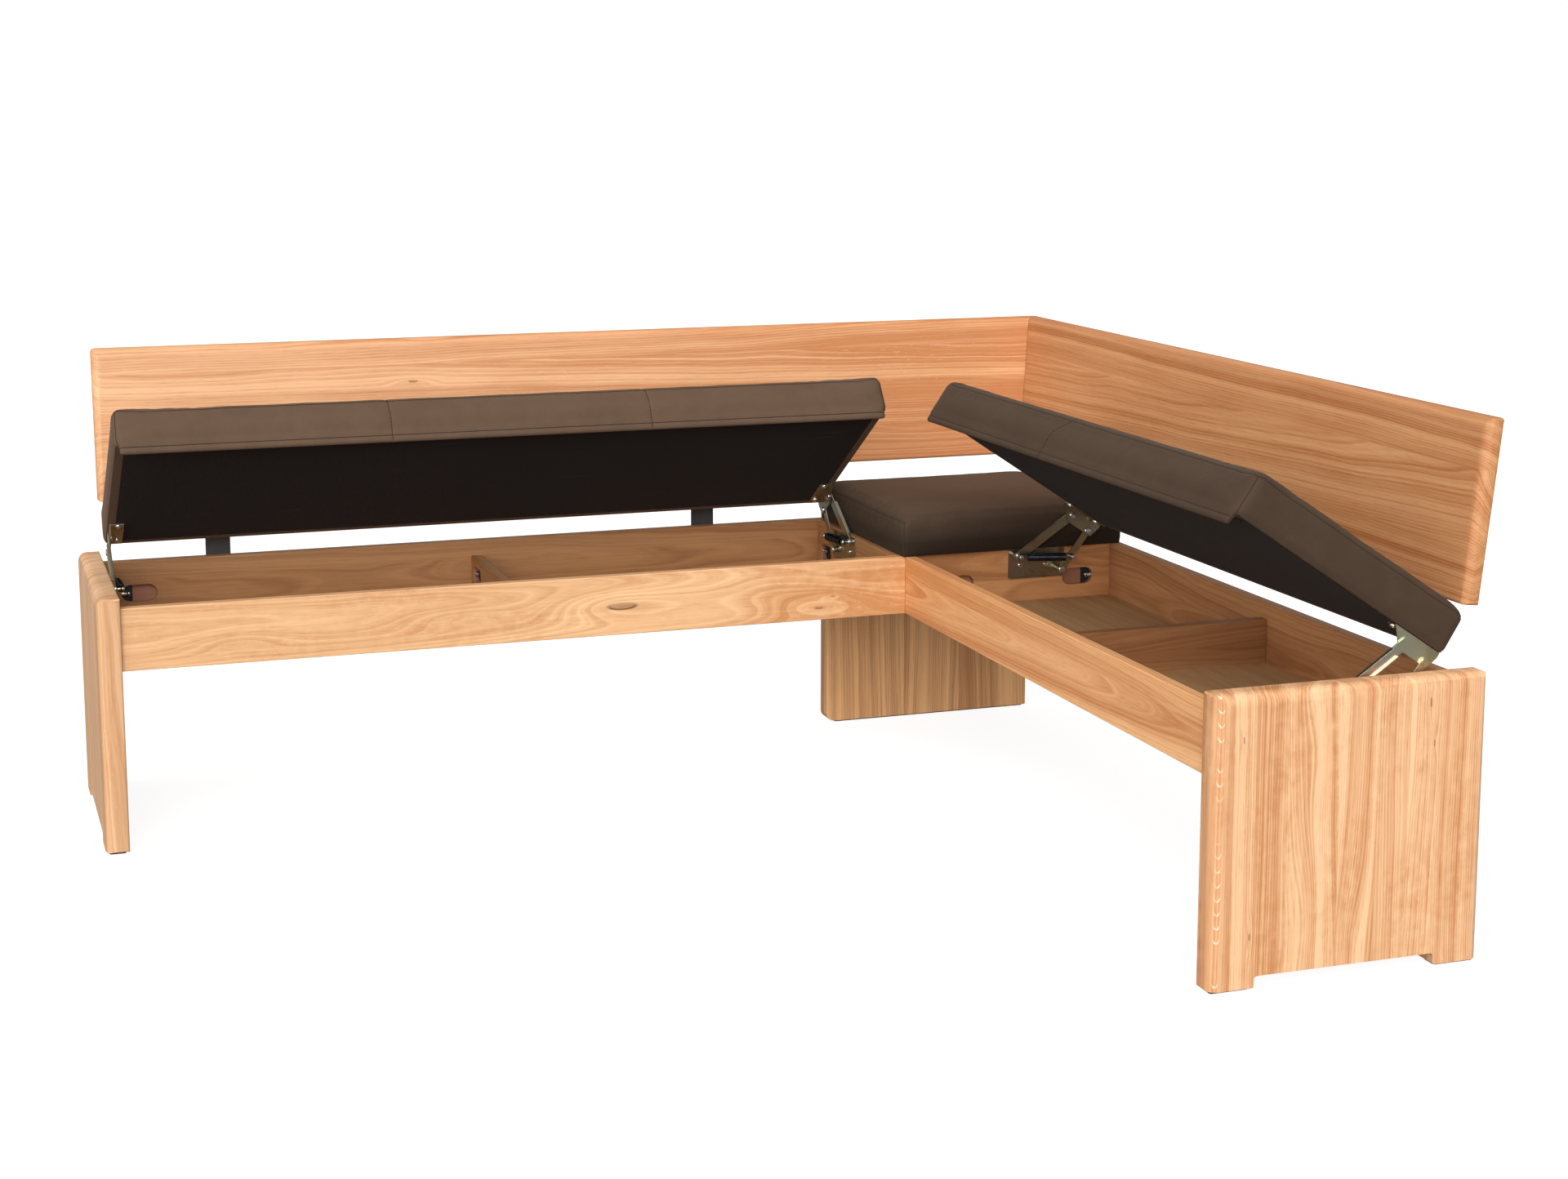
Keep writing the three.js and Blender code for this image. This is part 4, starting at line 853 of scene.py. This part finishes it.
def seam_paths(x, y, high, lip, seams, turn):
    """Where the cover's panels are sewn: round the top edge, down the corners and across the panels."""
    inset, droop, fold = 3.0, 4.0, 14.0
    corners = [
        (x[0] + turn, y[0] + turn, 180), (x[1] - turn, y[0] + turn, 270),
        (x[1] - turn, y[1] - turn, 0), (x[0] + turn, y[1] - turn, 90),
    ]
    # Without a lip the top and the front are one panel, so the edge's seam leaves out the front
    order = corners if lip else corners[1:] + corners[:1]
    rim = []
    for centre_x, centre_y, start in order:
        for step in range(7):
            angle = math.radians(start + step * 15)
            aside, back = math.cos(angle) * (turn - inset), math.sin(angle) * (turn - inset)
            rim.append(Vector((centre_x + aside, centre_y + back, high - droop)))
    if lip:
        rim.append(rim[0].copy())
    paths = [rim]
    bottom = lip + 2.0 if lip else LID_UNDERSIDE + 4.0
    for corner_x, corner_y in ((x[0], y[0]), (x[1], y[0])):
        way = 1 if corner_x == x[0] else -1
        aside = turn * 0.3
        at = Vector((corner_x + way * aside, corner_y + aside, 0))
        paths.append([Vector((at.x, at.y, high - 5.0)), Vector((at.x, at.y, bottom + 3.0))])
    if lip:
        ends = (x[0] + 8.0, x[1] - 8.0)
        paths.append([Vector((end, y[0], lip + fold)) for end in ends])
    for place, bend in seams:
        path = []
        for n in range(7):
            level = bottom + (high - droop - bottom) * n / 6
            path.append(Vector((place + bend * (n / 6) ** 2, y[0], level)))
        far = place + bend
        path += [Vector((far, y[0] + 5.0, high + 2.0)), Vector((far, y[1] - 5.0, high + 2.0))]
        path += [Vector((far, y[1], high - droop)), Vector((far, y[1], LID_UNDERSIDE + 6.0))]
        paths.append(path)
    return paths


def dense(path, step):
    """A path's points, filled in so that no two are further apart than about a step."""
    points = []
    for first, last in zip(path, path[1:]):
        count = max(1, round((last - first).length / step))
        points += [first.lerp(last, n / count) for n in range(count)]
    return points + [path[-1]]


def sewn(piece, paths, depth, width):
    """Draws the cover in along its seams and returns the seams' lines on the cover."""
    tree = BVHTree.FromObject(piece, bpy.context.evaluated_depsgraph_get())
    lines = []
    for path in paths:
        line = []
        for point in dense([p * MM for p in path], 0.006):
            spot, normal, _, _ = tree.find_nearest(point)
            line.append((spot, normal))
        lines.append(line)
    spots = [spot for line in lines for spot in line]
    near = KDTree(len(spots))
    for index, (spot, _) in enumerate(spots):
        near.insert(spot, index)
    near.balance()
    for vert in piece.data.vertices:
        spot, index, gap = near.find(vert.co)
        if gap < width * 3:
            vert.co -= spots[index][1] * depth * math.exp(-((gap / width) ** 2))
    return lines


def seam_cords(name, lines, place, body, radius, depth):
    """The thread that lies in each seam, made as a thin tube along the seam's line, in the cover's
    cloth drawn darker as painted shade.
    """
    curve = bpy.data.curves.new(name, "CURVE")
    curve.dimensions = "3D"
    curve.bevel_depth = radius
    curve.bevel_resolution = 2
    curve.use_fill_caps = True
    for line in lines:
        closed = (line[0][0] - line[-1][0]).length < 1e-5
        points = line[:-1] if closed else line
        strand = curve.splines.new("POLY")
        strand.points.add(len(points) - 1)
        strand.use_cyclic_u = closed
        for point, (spot, normal) in zip(strand.points, points):
            point.co = (*(place @ (spot - normal * depth)), 1.0)
    holder = placed(name + "_route", curve)
    graph = bpy.context.evaluated_depsgraph_get()
    mesh = bpy.data.meshes.new_from_object(holder.evaluated_get(graph))
    bpy.data.objects.remove(holder)
    shape = bmesh.new()
    shape.from_mesh(mesh)
    bpy.data.meshes.remove(mesh)
    return show(shape, name, seam_shade_cover, body, crease=80.0)


def crowned(piece, x, y, low, crown):
    """Raises the top into a soft crown and lets the sides wander a little, as foam does."""
    length, width = x[1] - x[0], y[1] - y[0]
    foot, slope = low + 20.0, 30.0
    for vert in piece.data.vertices:
        s, u, z = vert.co / MM
        if z > foot:
            across = abs(2 * (s - x[0]) / length - 1) ** 8
            along = abs(2 * (u - y[0]) / width - 1) ** 4
            lift = crown * max(0.0, 1 - across) * max(0.0, 1 - along) * min(1.0, (z - foot) / slope)
            lift += noise.noise(Vector((s / 60.0, u / 60.0, 3.0))) * 0.8
            vert.co.z += lift * MM
            ease = noise.noise(Vector((s / 45.0, z / 30.0, u / 200.0))) * 0.5
            vert.co.y += ease * MM


def settled(piece, flat, lip):
    """Lays the underside flat at its level and keeps a lip's back off the front rail."""
    rail_side, lip_back = -0.0006, -0.0014
    for vert in piece.data.vertices:
        if lip and vert.co.y < rail_side:
            if vert.co.z < flat + 0.001:
                vert.co.y = min(vert.co.y, lip_back)
        elif vert.co.z < flat + 0.0022:
            vert.co.z = flat


def hollowed(piece, rooms):
    """Cuts blocks of room out of a piece, given by their spans in millimetres."""
    tools = []
    for spans in rooms:
        cutter = block(*spans)
        cutter.transform(Matrix.Scale(MM, 4))
        tool = placed("room", mesh_from(cutter, "room"))
        tools.append(tool)
        room = piece.modifiers.new("room", "BOOLEAN")
        room.operation, room.solver, room.object = "DIFFERENCE", "EXACT", tool
        apply_modifiers(piece)
    for tool in tools:
        bpy.data.objects.remove(tool)


def upholstered(name, x, y, low, high, crown, seams, body, place, turn, rooms, lip=None):
    """A seat: a crowned foam form under a sewn cover, closed all round and hollowed for its board."""
    form = seat_form(x, y, low, high, lip, turn)
    bmesh.ops.recalc_face_normals(form, faces=form.faces)
    form.transform(Matrix.Scale(MM, 4))
    piece = placed(name, mesh_from(form, name))
    remesh = piece.modifiers.new("even_mesh", "REMESH")
    remesh.mode = "VOXEL"
    remesh.voxel_size = 0.006
    apply_modifiers(piece)
    puff(piece, low * MM, 0.0055, 0.2 if lip else 1.0)
    crowned(piece, x, y, low, crown)
    fine = piece.modifiers.new("fine", "SUBSURF")
    fine.levels = fine.render_levels = 1
    apply_modifiers(piece)
    seam_depth, seam_width = 0.0018, 0.0032
    paths = seam_paths(x, y, high, lip, seams, turn)
    lines = sewn(piece, paths, seam_depth, seam_width)
    settled(piece, low * MM, lip)
    hollowed(piece, rooms)
    piece.data.transform(place @ Matrix.Scale(1 / MM, 4))
    shape = bmesh.new()
    shape.from_mesh(piece.data)
    bpy.data.objects.remove(piece)
    node = name.replace("_cover", "_cushion")
    seat = show(shape, name, covers[name], body, replaced=(node,), crease=60.0)
    thread, sunk = 0.0007, 0.0011
    seam_cords(name + "_seams", lines, place @ Matrix.Scale(1 / MM, 4), body, thread, sunk)


def stretched_lining(side, x, y, place):
    """The black cloth under a lid, stretched over the folded cover and stapled along its edges."""
    sheet = bmesh.new()
    bmesh.ops.create_grid(sheet, x_segments=90, y_segments=30, size=0.5)
    width, length = x[1] - x[0], y[1] - y[0]
    bmesh.ops.scale(sheet, vec=(width, length, 1), verts=sheet.verts)
    centre = ((x[0] + x[1]) / 2, (y[0] + y[1]) / 2, LID_UNDERSIDE + 0.42)
    bmesh.ops.translate(sheet, vec=centre, verts=sheet.verts)
    for vert in sheet.verts:
        vert.co.z += noise.noise(Vector((vert.co.x / 55.0, vert.co.y / 55.0, 1.0))) * 0.16
    bmesh.ops.solidify(sheet, geom=sheet.faces[:], thickness=0.4)
    cloth = show(
        sheet, side + "_lid_lining_cloth", lining, side + "_lid", place,
        replaced=(side + "_lid_lining",), crease=80.0,
    )
    width * MM
    length * MM
    side + "_lid_board"
    pitch, inset, half_crown, half_wire = 52.0, 5.0, 5.0, 0.4
    count_x, count_y = round(width / pitch), round(length / pitch)
    level = LID_UNDERSIDE + 0.22
    thickness = (level - 0.35, level + 0.3)
    staples = []
    for n in range(count_x):
        middle = x[0] + width * (n + 0.5) / count_x
        for edge in (y[0] + inset, y[1] - inset):
            spans = (middle - half_crown, middle + half_crown), (edge - half_wire, edge + half_wire)
            staples.append(block(*spans, thickness))
    for n in range(count_y):
        middle = y[0] + length * (n + 0.5) / count_y
        for edge in (x[0] + inset, x[1] - inset):
            spans = (edge - half_wire, edge + half_wire), (middle - half_crown, middle + half_crown)
            staples.append(block(*spans, thickness))
    show(together(staples), side + "_lid_staples", dark_steel, side + "_lid", place)


SEAT_FRONT, SEAT_HEIGHT = -13.0, 75.0 - 4.0  # the height is before the crown


def lid(side, x, seams):
    """An upholstered lid with its lining; x is its span along the side, in millimetres."""
    y = (SEAT_FRONT, 426.0)
    place = SIDES[side] @ OPEN_LID
    low, board_level = LID_UNDERSIDE + 0.9, LID_UNDERSIDE + 1.8
    rim, mouth_rim, lining_rim = 8.7, 32.0, 20.0
    board = ((x[0] + rim, x[1] - rim), (rim, y[1] - rim), (board_level - 0.1, board_level + 16.3))
    mouth = (
        (x[0] + mouth_rim, x[1] - mouth_rim), (mouth_rim, y[1] - mouth_rim), (low - 30.0, board_level),
    )
    upholstered(
        side + "_lid_cover", x, y, low, LID_UNDERSIDE + SEAT_HEIGHT, 5.0, seams, side + "_lid", place,
        turn=14.0, rooms=(board, mouth), lip=LID_UNDERSIDE - 21.0,
    )
    spans = (x[0] + lining_rim, x[1] - lining_rim), (lining_rim, y[1] - lining_rim)
    stretched_lining(side, *spans, place)


# Each lid's span, and its cross seams' places and sideways bends
lid("long", (20.0, 1438.0), [(485.0, 0.0), (960.0, 0.0)])
lid("short", (18.0, 1183.0), [(522.0, 30.0)])
CORNER_SEAT = Matrix.Translation(CORNER.translation) @ Matrix.Scale(MM, 4)
seat_span, board_span = (SEAT_FRONT, 450.0), (-4.3, 441.3)
upholstered(
    "corner_seat_cover", seat_span, seat_span, 430.4, 430.3 + SEAT_HEIGHT, 8.0, [], "bench",
    CORNER_SEAT, turn=10.0, rooms=((board_span, board_span, (400.0, 446.7)),),
)

# ---- floor, light and camera

FLOOR_REACH = 60.0
floor_shape = bmesh.new()
bmesh.ops.create_grid(floor_shape, x_segments=1, y_segments=1, size=FLOOR_REACH)
floor = placed("studio_floor", mesh_from(floor_shape, "studio_floor"))
# The paper glows a little, as overexposed paper does, but doesn't light the bench from below
paper = Finish("studio_paper", roughness=0.95, specular_ior_level=0.0, emission_strength=0.86)
paper.shader.inputs["Emission Color"].default_value = (1.0, 1.0, 1.0, 1.0)
paper_place, _ = paper.place()
paper_tone = paper.mix(paper.noise(paper_place, 3.0, 2.0), (0.30, 0.30, 0.30), (0.32, 0.32, 0.32))
floor.data.materials.append(paper.give(base_color=paper_tone))
floor.visible_diffuse = floor.visible_glossy = False

world = bpy.data.worlds.new("studio")
bpy.context.scene.world = world
world.use_nodes = True
sky = world.node_tree
background = sky.nodes["Background"]
seen = sky.nodes.new("ShaderNodeLightPath")
height = sky.nodes.new("ShaderNodeSeparateXYZ")
direction = sky.nodes.new("ShaderNodeTexCoord")
# The sky is dimmer below the horizon, and white where the camera sees it
glow = sky.nodes.new("ShaderNodeMapRange")
for socket, value in zip((1, 2, 3, 4), (-0.25, 0.15, 0.26, 0.34)):
    glow.inputs[socket].default_value = value
strength = sky.nodes.new("ShaderNodeMapRange")
strength.inputs[4].default_value = 1.1
sky.links.new(direction.outputs["Generated"], height.inputs[0])
sky.links.new(height.outputs[2], glow.inputs[0])
sky.links.new(seen.outputs["Is Camera Ray"], strength.inputs[0])
sky.links.new(glow.outputs[0], strength.inputs[3])
sky.links.new(strength.outputs[0], background.inputs["Strength"])
background.inputs["Color"].default_value = (1.0, 1.0, 1.0, 1.0)


def sun(name, strength, spread, direction):
    light = bpy.data.lights.new(name, "SUN")
    light.energy, light.angle = strength, math.radians(spread)
    placed(name, light).rotation_euler = Vector(direction).to_track_quat("-Z", "Y").to_euler()


# Strength, spread in degrees and the way each light shines
sun("overhead_softbox", 0.5, 70.0, (0.10, 0.20, -1.0))
sun("front_softbox", 3.0, 50.0, (0.28, 0.86, -0.42))
sun("side_softbox", 1.45, 60.0, (0.85, 0.25, -0.45))

PICTURE_WIDTH, FOCAL_LENGTH, SHIFT_DOWN = 1920, 3113.345, 150.0  # pixels
CAMERA_PITCH, CAMERA_YAW = 8.9542, 19.0866
camera = bpy.data.cameras.new("camera")
camera.sensor_width = 36.0
camera.lens = FOCAL_LENGTH / PICTURE_WIDTH * 36.0
camera.shift_y = -SHIFT_DOWN / PICTURE_WIDTH
eye = placed("camera", camera)
eye.location = (-1.259823, -4.008433, 1.343340)
eye.rotation_euler = (math.radians(90 - CAMERA_PITCH), 0.0, math.radians(-CAMERA_YAW))
bpy.context.scene.camera = eye
bpy.context.scene.view_settings.view_transform = "Standard"
